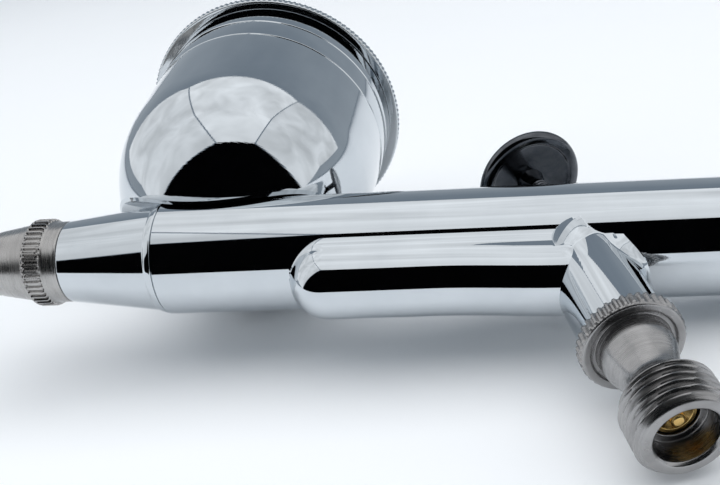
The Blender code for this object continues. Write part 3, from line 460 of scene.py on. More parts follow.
black_rubber = soft_finish("black_rubber", (0.028, 0.028, 0.03), (0.012, 0.012, 0.013), 0.55)
print(len(bpy.data.materials), "finishes")

# %% [markdown]
# ## Body
# On the real gun the body is a brass tube with an air-passage housing cast under it and a boss for
# the air valve, all filed to a smooth run and plated. Seen from the needle, every point of the tube
# and housing lies at one distance, so the skin is a function of station and angle. A smooth
# maximum joins the two shapes with the soft crease that filing leaves, and the mirror finish stays clean.

# %% Body sizes
BODY_R = 6.7 * MM
BODY_FRONT = -47.3 * MM
BODY_REAR = 33.0 * MM
BELLY_R = 4.3 * MM
BELLY_DROP = 6.0 * MM
BELLY_FRONT = -31.5 * MM
CREASE = 0.9 * MM                       # how softly the housing runs into the tube
BOSS_R = 4.6 * MM
BOSS_END = 17.5 * MM
BOSS_ROOT = 1.1 * MM                    # fillet where the boss meets the body
FLARE_START = -15.0 * MM
FLARE = 0.75 * MM                       # how much lower the housing runs out beside the boss
BELLY_TAIL = -1.0 * MM                  # where the housing starts to round off behind the boss
valve_lean = math.asin(down_valve.dot(along_needle))


# %% The skin of the tube and its housing
def smooth_max(a, b, soft):
    near = np.maximum(soft - np.abs(a - b), 0.0) / soft
    return np.maximum(a, b) + near * near * soft / 4.0


def skin_radius(x, angle):
    """Distance from the needle axis to the skin, at a station and an angle from straight down."""
    nose = BELLY_FRONT + BELLY_R
    inset = np.where(x < nose, nose - x, np.where(x > BELLY_TAIL, x - BELLY_TAIL, 0.0))
    width = np.sqrt(np.maximum(BELLY_R ** 2 - inset ** 2, 1e-12))
    rise = np.clip((x - FLARE_START) / -FLARE_START, 0.0, 1.0)
    drop = BELLY_DROP + FLARE * rise ** 2 * (3 - 2 * rise)
    side, down = np.abs(np.sin(angle)), np.cos(angle)
    flank = width / np.maximum(side, 1e-6)
    base = drop * down + np.sqrt(np.maximum(width ** 2 - (drop * side) ** 2, 0.0))
    belly = np.where(flank * down <= drop, flank, base)
    belly = np.where(down > 0.0, belly, width)
    middle, half = (nose + BELLY_TAIL) / 2, (BELLY_TAIL - nose) / 2
    belly = np.where(np.abs(x - middle) < half + BELLY_R, belly, 0.0)
    return smooth_max(np.full_like(belly, BODY_R), belly, CREASE)


def body_blank():
    """The skin as a closed solid, with stations packed closer over the housing's nose."""
    stations = np.concatenate([
        np.linspace(BODY_FRONT + EDGE, BELLY_FRONT - MM, 12, endpoint=False),
        np.linspace(BELLY_FRONT - MM, BELLY_FRONT + 6 * MM, 56, endpoint=False),
        np.linspace(BELLY_FRONT + 6 * MM, 1.5 * MM, 64, endpoint=False),
        np.linspace(1.5 * MM, 7 * MM, 40, endpoint=False),
        np.linspace(7 * MM, BODY_REAR - EDGE, 16)])
    around = 232
    angles = np.linspace(0.0, math.tau, around, endpoint=False)
    rows = []
    for x in stations:
        radius = skin_radius(np.full_like(angles, x), angles)
        across, up = radius * np.sin(angles), -radius * np.cos(angles)
        rows.append(np.stack([np.full_like(angles, x), across, up], 1))
    ends = []
    for x, inner in ((BODY_FRONT, rows[0]), (BODY_REAR, rows[-1])):
        edge = inner.copy()
        edge[:, 0] = x
        edge[:, 1:] *= (BODY_R - EDGE) / BODY_R
        ends.append(edge)
    rows = [ends[0]] + rows + [ends[1]]
    vertices = [tuple(v) for row in rows for v in row]
    return mesh_object("body_skin", vertices, row_faces(len(rows), around))


# %% The valve boss, with a fillet that follows the skin
def skin_depth(offset, angle):
    """How far down the valve axis a line beside it meets the skin, found by halving."""
    across = np.array((math.cos(valve_lean), 0.0, math.sin(valve_lean)))
    down = np.array((math.sin(valve_lean), 0.0, -math.cos(valve_lean)))
    side = np.array((0.0, 1.0, 0.0))
    start = (np.cos(angle)[..., None] * across + np.sin(angle)[..., None] * side) * offset[..., None]
    low = np.zeros_like(offset)
    high = np.full_like(offset, BOSS_END)
    for _ in range(40):
        middle = (low + high) / 2
        point = start + middle[..., None] * down
        radius = np.hypot(point[..., 1], point[..., 2])
        theta = np.arctan2(point[..., 1], -point[..., 2])
        inside = radius < skin_radius(point[..., 0], theta)
        low = np.where(inside, middle, low)
        high = np.where(inside, high, middle)
    return (low + high) / 2


def boss_blank():
    around = 144
    angle = np.linspace(0.0, math.tau, around, endpoint=False)
    rings = [(np.full(around, BOSS_R + BOSS_ROOT), np.full(around, 2.0 * MM))]
    for step in range(9):
        turn = math.pi / 2 * step / 8
        offset = np.full(around, BOSS_R + BOSS_ROOT * (1 - math.sin(turn)))
        sunk = 0.03 * MM if step == 0 else 0.0
        rings.append((offset, skin_depth(offset, angle) + BOSS_ROOT * (1 - math.cos(turn)) - sunk))
    root = rings[-1][1]
    for share in (0.25, 0.5, 0.75, 1.0):
        rings.append((np.full(around, BOSS_R), root + (BOSS_END - EDGE - root) * share))
    rings.append((np.full(around, BOSS_R - EDGE), np.full(around, BOSS_END)))
    vertices = []
    for offset, depth in rings:
        vertices += list(zip(offset * np.cos(angle), offset * np.sin(angle), depth))
    return mesh_object("boss", vertices, row_faces(len(rings), around), airbrush.inverted() @ valve_axis)


# %% Joining and cutting solids
def apply_boolean(obj, other, operation):
    """Joins or cuts with another solid, keeps the result, and removes the other solid."""
    step = obj.modifiers.new(operation, "BOOLEAN")
    step.operation = operation
    step.object = other
    step.solver = "EXACT"
    bpy.context.view_layer.update()
    depsgraph = bpy.context.evaluated_depsgraph_get()
    mesh = bpy.data.meshes.new_from_object(obj.evaluated_get(depsgraph))
    obj.modifiers.remove(step)
    obj.data = mesh
    bpy.data.objects.remove(other)


def slot_cutter(half, front, rear, low, high):
    """A round-ended bar that cuts the trigger's slot, in the airbrush's axes."""
    sides = 24
    outline = []
    for k in range(sides + 1):
        a = -math.pi / 2 + math.pi * k / sides
        outline.append((rear - half + half * math.cos(a), half * math.sin(a)))
    for k in range(sides + 1):
        a = math.pi / 2 + math.pi * k / sides
        outline.append((front + half + half * math.cos(a), half * math.sin(a)))
    count = len(outline)
    vertices = [(x, y, z) for z in (low, high) for x, y in outline]
    faces = [tuple(range(count)), tuple(range(count, 2 * count))]
    faces += [(k, (k + 1) % count, count + (k + 1) % count, count + k) for k in range(count)]
    return mesh_object("slot_cutter", vertices, faces)


# %% Body: join, bore and slot
HEAD_BORE_R, HEAD_BORE_END = 4.2 * MM, BODY_FRONT + 3.1 * MM
WELL_BORE_R, WELL_BORE_END = 1.7 * MM, -34.0 * MM
MID_BORE_R, MID_BORE_END = 3.0 * MM, -4.0 * MM
REAR_BORE_R = 5.3 * MM
STEM_BORE_R, STEM_BORE_END = 2.6 * MM, 7.0 * MM
CASING_BORE_R = 3.3 * MM
SLOT_HALF, SLOT_END = 2.5 * MM, 8.0 * MM
body = body_blank()
apply_boolean(body, boss_blank(), "UNION")
to_needle = airbrush.inverted() @ needle_axis
to_valve = airbrush.inverted() @ valve_axis
bores = turned("bores", [
    (0.0, BODY_FRONT - MM), (HEAD_BORE_R, BODY_FRONT - MM), (HEAD_BORE_R, HEAD_BORE_END),
    (WELL_BORE_R, HEAD_BORE_END), (WELL_BORE_R, WELL_BORE_END), (MID_BORE_R, WELL_BORE_END),
    (MID_BORE_R, MID_BORE_END), (REAR_BORE_R, MID_BORE_END), (REAR_BORE_R, BODY_REAR + MM),
    (0.0, BODY_REAR + MM)], to_needle, 96)
apply_boolean(body, bores, "DIFFERENCE")
valve_bore = turned("valve_bore", [
    (0.0, FOOT_S), (STEM_BORE_R, FOOT_S), (STEM_BORE_R, STEM_BORE_END), (CASING_BORE_R, STEM_BORE_END),
    (CASING_BORE_R, BOSS_END + MM), (0.0, BOSS_END + MM)], to_valve, 72)
apply_boolean(body, valve_bore, "DIFFERENCE")
slot = slot_cutter(SLOT_HALF, -SLOT_END, SLOT_END, 0.0, 2 * BODY_R)
apply_boolean(body, slot, "DIFFERENCE")
body.name = "body_shell"
body.data.transform(airbrush)
smooth(body.data, 32.0)
settle(body, "root", "body", finish=chrome_tube, slot="chrome")

# %% [markdown]
# ## Paint cup and lid
# The cup is a spun brass bowl with two thin grooves below its rim, soldered to a saddle that is bent
# round the tube. The lid is a turned cap: its straight-knurled edge stands just proud of the cup, so
# a fingertip can lift it, and a small vent in the middle lets air in as paint goes out.

# %% Cup
BOWL_R = 16.4 * MM
BOWL_Z = 17.35 * MM
FLARE_ANGLE = 2.0
RIM_Z = 35.9 * MM
WALL = 1.0 * MM
FLOOR_Z = 8.8 * MM
GROOVE_ZS = (27.9 * MM, 32.2 * MM)
GROOVE = 0.17 * MM                      # half the width of a decorative groove
DRAIN_R = 1.5 * MM
SOLDER_R = 1.7 * MM                     # where the bowl's round ends, just outside the drain
slope = math.tan(math.radians(FLARE_ANGLE))
tangent_z = BOWL_Z - BOWL_R * math.sin(math.radians(FLARE_ANGLE))
tangent_r = BOWL_R * math.cos(math.radians(FLARE_ANGLE))


def wall_radius(z):
    return tangent_r + (z - tangent_z) * slope


def cup_outline():
    rim_r = wall_radius(RIM_Z)
    outline = [(rim_r - WALL, RIM_Z), (rim_r, RIM_Z)]
    for z in reversed(GROOVE_ZS):
        r = wall_radius(z)
        outline += [(r, z + GROOVE, 0.04 * MM), (r - GROOVE * 1.3, z, 0.05 * MM)]
        outline.append((r, z - GROOVE, 0.04 * MM))
    outline += arc(0.0, BOWL_Z, BOWL_R, -FLARE_ANGLE, -84.0, 48)
    outline.append((SOLDER_R, BOWL_Z - BOWL_R, 0.0))
    inner_r = tangent_r - WALL
    for i in range(29):
        a = math.pi / 2 * (1 - i / 28)
        radius = SOLDER_R + (inner_r - SOLDER_R) * math.cos(a)
        outline.append((radius, tangent_z - (tangent_z - FLOOR_Z) * math.sin(a), 0.0))
    return outline


cup = turned("cup_shell", eased(cup_outline()), airbrush.inverted() @ cup_axis, 192)
SADDLE_ARC_R = 17.0 * MM
SADDLE_Z = 0.4 * MM
SADDLE_HALF = 8.0 * MM                  # half its width across the tube, before it is cut round
SADDLE_R = 7.35 * MM                    # outside and inside of the bent saddle, round the needle
TUBE_ROOM_R = 6.9 * MM


def rod(name, radius, low, high, place, steps):
    return turned(name, [(0.0, low), (radius, low), (radius, high), (0.0, high)], place, steps)


lay_across = Matrix.Rotation(math.pi / 2, 4, "X")
saddle_place = Matrix.Translation((CUP_X, 0.0, SADDLE_Z + SADDLE_ARC_R)) @ lay_across
saddle = rod("saddle", SADDLE_ARC_R, -SADDLE_HALF, SADDLE_HALF, saddle_place, 192)
saddle_tube = rod("saddle_tube", SADDLE_R, CUP_X - BOWL_R, CUP_X + BOWL_R, to_needle, STEPS)
apply_boolean(saddle, saddle_tube, "INTERSECT")
apply_boolean(cup, saddle, "UNION")
tube_room = rod("tube_room", TUBE_ROOM_R, CUP_X - 2 * BOWL_R, CUP_X + 2 * BOWL_R, to_needle, STEPS)
apply_boolean(cup, tube_room, "DIFFERENCE")
drain = rod("drain", DRAIN_R, 0.0, FLOOR_Z + MM, airbrush.inverted() @ cup_axis, 32)
apply_boolean(cup, drain, "DIFFERENCE")
cup.name = "cup_shell"
cup.data.transform(airbrush)
smooth(cup.data, 30.0)
settle(cup, "root", "cup", finish=chrome_cup, slot="chrome")

# %% Lid
LID_R = 18.4 * MM
LID_BOTTOM = RIM_Z + 0.3 * MM
LID_TOP = LID_BOTTOM + 1.2 * MM
LID_KNURLS = 150
VENT_R = 1.0 * MM
DOME_R = 16.4 * MM
DOME_H = 1.8 * MM
LID_CHAMFER = 0.25 * MM
SKIRT_END = LID_BOTTOM - 3.0 * MM
SKIRT_R = wall_radius(SKIRT_END) - WALL - 0.2 * MM
SKIRT_IN = SKIRT_R - 0.8 * MM
dome = [(r * DOME_R, LID_TOP + DOME_H * (1 - r ** 6), 0.0)
        for r in (0.35, 0.55, 0.7, 0.8, 0.88, 0.93, 0.965, 0.99)]
lid_outline = [(VENT_R, LID_TOP + 1.0 * MM), (VENT_R, LID_TOP + DOME_H)] + dome + [
    (DOME_R, LID_TOP, 0.2 * MM), (LID_R - LID_CHAMFER, LID_TOP), (LID_R, LID_TOP - LID_CHAMFER),
    (LID_R, LID_BOTTOM + LID_CHAMFER), (LID_R - LID_CHAMFER, LID_BOTTOM), (SKIRT_R, LID_BOTTOM),
    (SKIRT_R, SKIRT_END), (SKIRT_IN, SKIRT_END), (SKIRT_IN, LID_TOP - 0.8 * MM, 0.5 * MM),
    (DOME_R * 0.7, LID_TOP + 0.6 * MM, MM)]
lid = turned("cup_lid_cap", finer(eased(lid_outline, 0.08 * MM), 0.3 * MM), None, LID_KNURLS * 6)
cut_round(lid, chrome_lid, LID_KNURLS, 0.22 * MM, LID_BOTTOM + 0.1 * MM, LID_TOP - 0.05 * MM, 0.2 * MM,
          0.45, 0.3, LID_R - 0.5 * MM)
lid.data.transform(cup_axis)
settle(lid, "lid", "cup_lid", finish=chrome_lid, slot="chrome")

# %% [markdown]
# ## Nose
# Head, nozzle cap and needle cap screw onto each other in a row. The head is plated like the body.
# The caps are stainless steel, turned and left satin, and the nozzle cap has a coarse straight knurl
# to grip when the nozzle is cleaned.

# %% Head
SEAM = 0.07 * MM                        # what shows between two pieces screwed tight
HEAD_REAR = BODY_FRONT - SEAM
HEAD_FRONT = BODY_FRONT - 12.1 * MM
HEAD_NOSE_R = 4.9 * MM
SPIGOT_FRONT = HEAD_FRONT - 5.2 * MM
SPIGOT_R = 3.5 * MM
SHANK_R, SHANK_REAR = HEAD_BORE_R - 0.2 * MM, BODY_FRONT + 2.1 * MM
head = turned("head_cone", eased([
    (WELL_BORE_R, SPIGOT_FRONT), (SPIGOT_R, SPIGOT_FRONT), (SPIGOT_R, HEAD_FRONT),
    (HEAD_NOSE_R, HEAD_FRONT, 0.2 * MM), (6.28 * MM, HEAD_REAR - 0.95 * MM, 0.1 * MM),
    (6.45 * MM, HEAD_REAR - 0.75 * MM, 0.2 * MM), (6.62 * MM, HEAD_REAR - 0.15 * MM, 0.3 * MM),
    (6.5 * MM, HEAD_REAR), (SHANK_R, HEAD_REAR), (SHANK_R, SHANK_REAR), (WELL_BORE_R, SHANK_REAR)]),
    needle_axis, 192)
settle(head, "root", "head", finish=chrome_tube, slot="chrome")

# %% Nozzle cap
CAP_REAR = HEAD_FRONT - SEAM
CAP_FRONT = HEAD_FRONT - 8.9 * MM
STUB_FRONT = CAP_FRONT - 2.6 * MM
RING_REAR = HEAD_FRONT - 1.8 * MM
RING_FRONT = RING_REAR - 2.5 * MM
RING_R = 5.25 * MM
STUB_R = 2.7 * MM
AIR_MOUTH_R = 0.85 * MM
CAP_KNURLS = 45
nozzle_cap_blank = eased([
    (AIR_MOUTH_R, STUB_FRONT), (STUB_R, STUB_FRONT), (STUB_R, CAP_FRONT), (3.9 * MM, CAP_FRONT, 0.25 * MM),
    (4.7 * MM, RING_FRONT), (RING_R - 0.3 * MM, RING_FRONT), (RING_R, RING_FRONT + 0.3 * MM),
    (RING_R, RING_REAR - 0.45 * MM), (4.85 * MM, RING_REAR), (4.85 * MM, CAP_REAR, 0.2 * MM),
    (3.7 * MM, CAP_REAR), (3.7 * MM, SPIGOT_FRONT - 0.2 * MM), (3.0 * MM, SPIGOT_FRONT - 0.2 * MM),
    (3.0 * MM, SPIGOT_FRONT - 3.4 * MM), (1.9 * MM, CAP_FRONT), (AIR_MOUTH_R, STUB_FRONT + 0.5 * MM)])
nozzle_cap = turned("nozzle_cap_knurled", finer(nozzle_cap_blank, 0.12 * MM), None, CAP_KNURLS * 8)
cut_round(nozzle_cap, satin_nose, CAP_KNURLS, 0.32 * MM, RING_FRONT + 0.25 * MM, RING_REAR - 0.1 * MM,
          0.3 * MM, 0.5, 0.2, RING_R - 0.42 * MM)
nozzle_cap.data.transform(needle_axis)
settle(nozzle_cap, "root", "nozzle_cap", finish=satin_nose, slot="satin_steel")

# %% Needle cap
NEEDLE_CAP_REAR = CAP_FRONT - SEAM
NEEDLE_CAP_FRONT = CAP_FRONT - 8.3 * MM
NEEDLE_CAP_R = 3.8 * MM
NEEDLE_CAP_KNURLS = 40
GRIP_FRONT = NEEDLE_CAP_FRONT + 2.9 * MM
needle_cap_blank = eased([
    (2.2 * MM, NEEDLE_CAP_FRONT), (3.05 * MM, NEEDLE_CAP_FRONT), (3.4 * MM, NEEDLE_CAP_FRONT + 0.5 * MM),
    (3.45 * MM, GRIP_FRONT - 0.5 * MM), (NEEDLE_CAP_R, GRIP_FRONT),
    (NEEDLE_CAP_R, NEEDLE_CAP_REAR - 0.3 * MM), (3.5 * MM, NEEDLE_CAP_REAR), (2.9 * MM, NEEDLE_CAP_REAR),
    (2.9 * MM, STUB_FRONT - 0.2 * MM), (2.2 * MM, STUB_FRONT - 0.2 * MM)])
needle_cap = turned("needle_cap_knurled", finer(needle_cap_blank, 0.15 * MM), None, NEEDLE_CAP_KNURLS * 8)
cut_round(needle_cap, satin_nose, NEEDLE_CAP_KNURLS, 0.2 * MM, GRIP_FRONT, NEEDLE_CAP_REAR - 0.2 * MM,
          0.3 * MM, 0.45, 0.25, NEEDLE_CAP_R - 0.1 * MM)
needle_cap.data.transform(needle_axis)
settle(needle_cap, "root", "needle_cap", finish=satin_nose, slot="satin_steel")

# %% [markdown]
# ## Handle
# The handle is a plated taper with a fine diamond knurl behind the body. Two cuts that climb in
# opposite directions cross each other and leave the diamonds.

# %% Handle
HANDLE_FRONT = BODY_REAR + 0.3 * MM
HANDLE_TAIL = 76.0 * MM
TAIL_R = 3.3 * MM
RING_END = HANDLE_FRONT + 5.0 * MM
SHANK = BODY_REAR - 1.6 * MM
HOLLOW_R = 4.1 * MM
PLUG_R = REAR_BORE_R - 0.2 * MM
BAND_R = BODY_R - 0.03 * MM             # the knurled band
DIAMONDS = 48
DIAMOND_CLIMB = 260.0                   # grooves passed in a metre along the handle
handle_blank = [
    (0.0, SHANK + 29.0 * MM), (HOLLOW_R, SHANK + 27.0 * MM), (HOLLOW_R, SHANK), (PLUG_R, SHANK),
    (PLUG_R, HANDLE_FRONT), (BODY_R - 0.1 * MM, HANDLE_FRONT), (BAND_R, HANDLE_FRONT + 0.4 * MM),
    (BAND_R, RING_END - 0.3 * MM), (BODY_R - 0.5 * MM, RING_END + 0.2 * MM),
    (BODY_R - 0.5 * MM, RING_END + 0.8 * MM), (BODY_R - 0.15 * MM, RING_END + 1.1 * MM)]
tail = arc(0.0, HANDLE_TAIL - TAIL_R, TAIL_R, 4.0, 90.0, 20)
tail[-1] = (0.0, HANDLE_TAIL, 0.0)
handle = turned("handle_taper", finer(eased(handle_blank + tail), 0.2 * MM), None, 240)
for climb in (DIAMOND_CLIMB, -DIAMOND_CLIMB):
    cut_round(handle, chrome_tube, DIAMONDS, 0.12 * MM, HANDLE_FRONT + 0.4 * MM, RING_END - 0.3 * MM,
              0.3 * MM, 0.35, 0.3, BODY_R - 0.45 * MM, climb)
handle.data.transform(needle_axis)
settle(handle, "root", "handle", finish=chrome_tube, slot="chrome")

# %% [markdown]
# ## Air valve
# The valve casing screws into the boss. From the top it has a serrated ring for the fingers, a
# turned neck like an hourglass, and the hose thread. A thread is one groove that climbs by its pitch
# with every turn, so the cutter tree makes it with one start.

# %% Valve casing
RING_TOP = BOSS_END + 0.3 * MM
RING_LOW = RING_TOP + 2.0 * MM
WAIST_S = 24.8 * MM
THREAD_TOP = 27.3 * MM
THREAD_R = 4.865 * MM
PITCH = 0.907 * MM
THREAD_DEPTH = 0.5 * MM
MOUTH_S = 32.5 * MM
COLLAR_R = 3.85 * MM                    # the neck's upper end, below the ring
WAIST_R = 2.9 * MM
THREAD_ROOT_R = THREAD_R - 0.35 * MM
INLET_R, INLET_TOP = 3.1 * MM, MOUTH_S - 2.9 * MM
SPRING_ROOM_R = 2.3 * MM
PIN_BORE_R = 0.95 * MM
SERRATIONS = 40


def neck_points():
    """The hourglass between the ring and the thread, as two eased curves."""
    top, low = RING_LOW + 1.0 * MM, WAIST_S
    points = []
    for i in range(1, 15):
        t = i / 14
        blend = (1 - math.cos(math.pi * t)) / 2
        points.append((COLLAR_R + (WAIST_R - COLLAR_R) * blend, top + (low - top) * t, 0.0))
    for i in range(1, 12):
        t = i / 11
        radius = WAIST_R + (THREAD_ROOT_R - WAIST_R) * t ** 2.1
        points.append((radius, low + (THREAD_TOP - low) * t, 0.0))
    return points


casing_outline = [
    (PIN_BORE_R, 10.6 * MM), (3.1 * MM, 10.6 * MM), (3.1 * MM, RING_TOP), (5.2 * MM, RING_TOP),
    (5.5 * MM, RING_TOP + 0.3 * MM), (5.5 * MM, RING_LOW - 0.45 * MM), (5.2 * MM, RING_LOW, 0.15 * MM),
    (4.5 * MM, RING_LOW), (4.35 * MM, RING_LOW - 0.3 * MM), (3.95 * MM, RING_LOW - 0.3 * MM, 0.05 * MM),
    (COLLAR_R, RING_LOW + 0.1 * MM), (COLLAR_R, RING_LOW + 1.0 * MM, 0.4 * MM)] + neck_points() + [
    (THREAD_R, THREAD_TOP + 0.3 * MM), (THREAD_R, MOUTH_S - 0.75 * MM),
    (THREAD_R - 0.55 * MM, MOUTH_S - 0.1 * MM), (THREAD_R - 0.75 * MM, MOUTH_S, 0.1 * MM),
    (3.4 * MM, MOUTH_S, 0.15 * MM), (INLET_R, MOUTH_S - 0.35 * MM), (INLET_R, INLET_TOP),
    (SPRING_ROOM_R, INLET_TOP), (SPRING_ROOM_R, 12.0 * MM), (PIN_BORE_R, 12.0 * MM)]
casing_blank = finer(eased(casing_outline, 0.1 * MM), 0.1 * MM)
casing = turned("valve_casing_turned", casing_blank, None, SERRATIONS * 8)
cut_round(casing, satin_valve, SERRATIONS, 0.3 * MM, RING_TOP - 0.2 * MM, RING_LOW - 0.25 * MM, 0.12 * MM,
          0.5, 0.1, 5.0 * MM)
cut_round(casing, satin_valve, 1, THREAD_DEPTH, THREAD_TOP - 0.3 * MM, MOUTH_S - 0.5 * MM, 0.3 * MM,
          0.5, 0.45, 3.9 * MM, 1.0 / PITCH)
casing.data.transform(valve_axis)
settle(casing, "root", "valve_casing", finish=satin_valve, slot="satin_steel")

# %% Valve pin and the screw that holds its spring
PLUNGER_END = 8.8 * MM
DISC_TOP = 13.0 * MM
DISC_R = 1.8 * MM
PIN_TOP, PIN_END = PLUNGER_END + 0.2 * MM, 30.4 * MM
pin = turned("valve_pin", eased([
    (0.0, PIN_TOP), (0.6 * MM, PIN_TOP), (0.6 * MM, DISC_TOP), (DISC_R, DISC_TOP), (DISC_R, DISC_TOP + MM),
    (0.7 * MM, DISC_TOP + MM), (0.7 * MM, PIN_END - 0.25 * MM), (0.5 * MM, PIN_END), (0.0, PIN_END)],
    0.06 * MM), valve_axis, 64)
settle(pin, "plunger_set", "air_valve", finish=brass_valve, slot="brass")
SCREW_END = INLET_TOP - 0.2 * MM
SCREW_TOP = SCREW_END - 2.8 * MM
SCREW_R, SCREW_BORE_R = 2.1 * MM, 0.9 * MM
screw = turned("spring_screw", eased([
    (SCREW_BORE_R, SCREW_TOP), (SCREW_R, SCREW_TOP), (SCREW_R, SCREW_END), (1.75 * MM, SCREW_END),
    (1.2 * MM, SCREW_END - 0.7 * MM), (SCREW_BORE_R, SCREW_END - 0.7 * MM)], 0.05 * MM), valve_axis, 72)
settle(screw, "root", "valve_spring_screw", finish=brass_valve, slot="brass")

# %% [markdown]
# ## Trigger
# The finger pad is a dished button with a thick, rounded rim, on a short ridged post. Below the slot
# the post becomes a flat fork that straddles the needle. It is dark chrome, almost black in its hollow.

# %% Trigger finish
def dark_chrome(name, place):
    material, nodes, links, shader = new_finish(name, 1.0, 0.12)
    even = object_coordinates(nodes, links, place, (1.0, 1.0, 1.0))
    rings = object_coordinates(nodes, links, place, (0.05, 0.05, 1.0))
    cloud = noise(nodes, links, even, 420.0, 4.0, 0.65, 0.6)
    fine = noise(nodes, links, rings, 3200.0, 2.0, 0.6)
    colour = blend_colour(nodes, links, spread(nodes, links, cloud, 0.35, 0.7, 0.0, 1.0),
                          (0.13, 0.137, 0.15), (0.07, 0.075, 0.085))
    links.new(colour, shader.inputs["Base Color"])
    links.new(add(nodes, links, spread(nodes, links, cloud, 0.3, 0.75, 0.08, 0.2),
                  spread(nodes, links, fine, 0.5, 0.75, 0.0, 0.08)), shader.inputs["Roughness"])
    bump(nodes, links, shader, add(nodes, links, cloud, fine), 0.2, 0.03 * MM)
    return material


# %% Trigger
KNEE = 8.4 * MM
STEM_T = 2.6 * MM
LEVER_HALF = 1.5 * MM                   # half the lever's width across the needle
FOOT_R = 1.3 * MM
POST_R = 1.3 * MM
PAD = Vector((-5.7 * MM, 0.0, 18.0 * MM))
PAD_R = 6.8 * MM
PAD_LEAN = math.radians(25.0)
foot = Vector((FOOT_S * math.sin(valve_lean), 0.0, -FOOT_S * math.cos(valve_lean)))
pad_place = Matrix.Translation(foot + PAD) @ Matrix.Rotation(-PAD_LEAN, 4, "Y")
knee = Vector((0.0, 0.0, KNEE - 1.3 * MM))
lean = (PAD - knee).to_track_quat("Z", "Y").to_matrix().to_4x4()
post_place = Matrix.Translation(foot + knee) @ lean
gunmetal = dark_chrome("gunmetal", airbrush @ pad_place)


def trigger_pad():
    rim = [(PAD_R - 0.62 * MM, -0.62 * MM + 0.42 * MM, 0.0)]
    rim += arc(PAD_R - 0.75 * MM, -0.95 * MM, 0.75 * MM, 70.0, -80.0, 14)
    top = [(0.0, -0.6 * MM, 0.0), (PAD_R * 0.3, -0.56 * MM, 0.0), (PAD_R * 0.55, -0.42 * MM, 0.0),
           (PAD_R * 0.75, -0.26 * MM, 0.0)]
    under = [(PAD_R * 0.8, -1.72 * MM, 0.1 * MM), (PAD_R * 0.76, -1.3 * MM, 0.2 * MM),
             (PAD_R * 0.5, -1.2 * MM, 0.0), (0.0, -1.15 * MM, 0.0)]
    return turned("trigger_button", eased(top + rim + under), pad_place, 144)


def trigger_post():
    length = (PAD - knee).length
    outline = [(0.0, 0.0), (POST_R, 0.0)]
    height = length - 7.2 * MM
    while height < length - 3.6 * MM:
        outline += [(POST_R, height, 0.03 * MM), (POST_R - 0.14 * MM, height + 0.16 * MM, 0.03 * MM),
                    (POST_R, height + 0.32 * MM, 0.03 * MM)]
        height += 0.5 * MM
    outline += [(POST_R, length - 3.0 * MM, 0.3 * MM), (1.45 * MM, length - 2.2 * MM, 0.4 * MM),
                (1.8 * MM, length - 1.1 * MM), (0.0, length - 1.1 * MM)]
    return turned("trigger_post", eased(outline, 0.05 * MM), post_place, 72)


def block(name, low, high, bevel):
    shape = bmesh.new()
    bmesh.ops.create_cube(shape, size=1.0)
    size = Vector(high) - Vector(low)
    bmesh.ops.scale(shape, vec=size, verts=shape.verts)
    bmesh.ops.translate(shape, vec=(Vector(high) + Vector(low)) / 2, verts=shape.verts)
    bmesh.ops.bevel(shape, geom=shape.edges[:], offset=bevel, segments=3, affect="EDGES", profile=0.5)
    mesh = bpy.data.meshes.new(name)
    shape.to_mesh(mesh)
    shape.free()
    return in_scene(name, mesh)


trigger = block("trigger_lever", foot + Vector((-STEM_T / 2, -LEVER_HALF, 0.0)),
                foot + Vector((STEM_T / 2, LEVER_HALF, KNEE)), 0.25 * MM)
foot_outline = [(0.0, -LEVER_HALF), (FOOT_R, -LEVER_HALF), (FOOT_R, LEVER_HALF), (0.0, LEVER_HALF)]
round_foot = turned("round_foot", eased(foot_outline), Matrix.Translation(foot) @ lay_across, 48)
apply_boolean(trigger, round_foot, "UNION")
needle_room = block("needle_room", foot + Vector((-6 * MM, -0.9 * MM, 1.3 * MM)),
                    foot + Vector((6 * MM, 0.9 * MM, 6.3 * MM)), 0.2 * MM)
apply_boolean(trigger, needle_room, "DIFFERENCE")
apply_boolean(trigger, trigger_post(), "UNION")
apply_boolean(trigger, trigger_pad(), "UNION")
trigger.data.transform(airbrush)
smooth(trigger.data, 38.0)
settle(trigger, "trigger", "trigger", finish=gunmetal, slot="gunmetal")
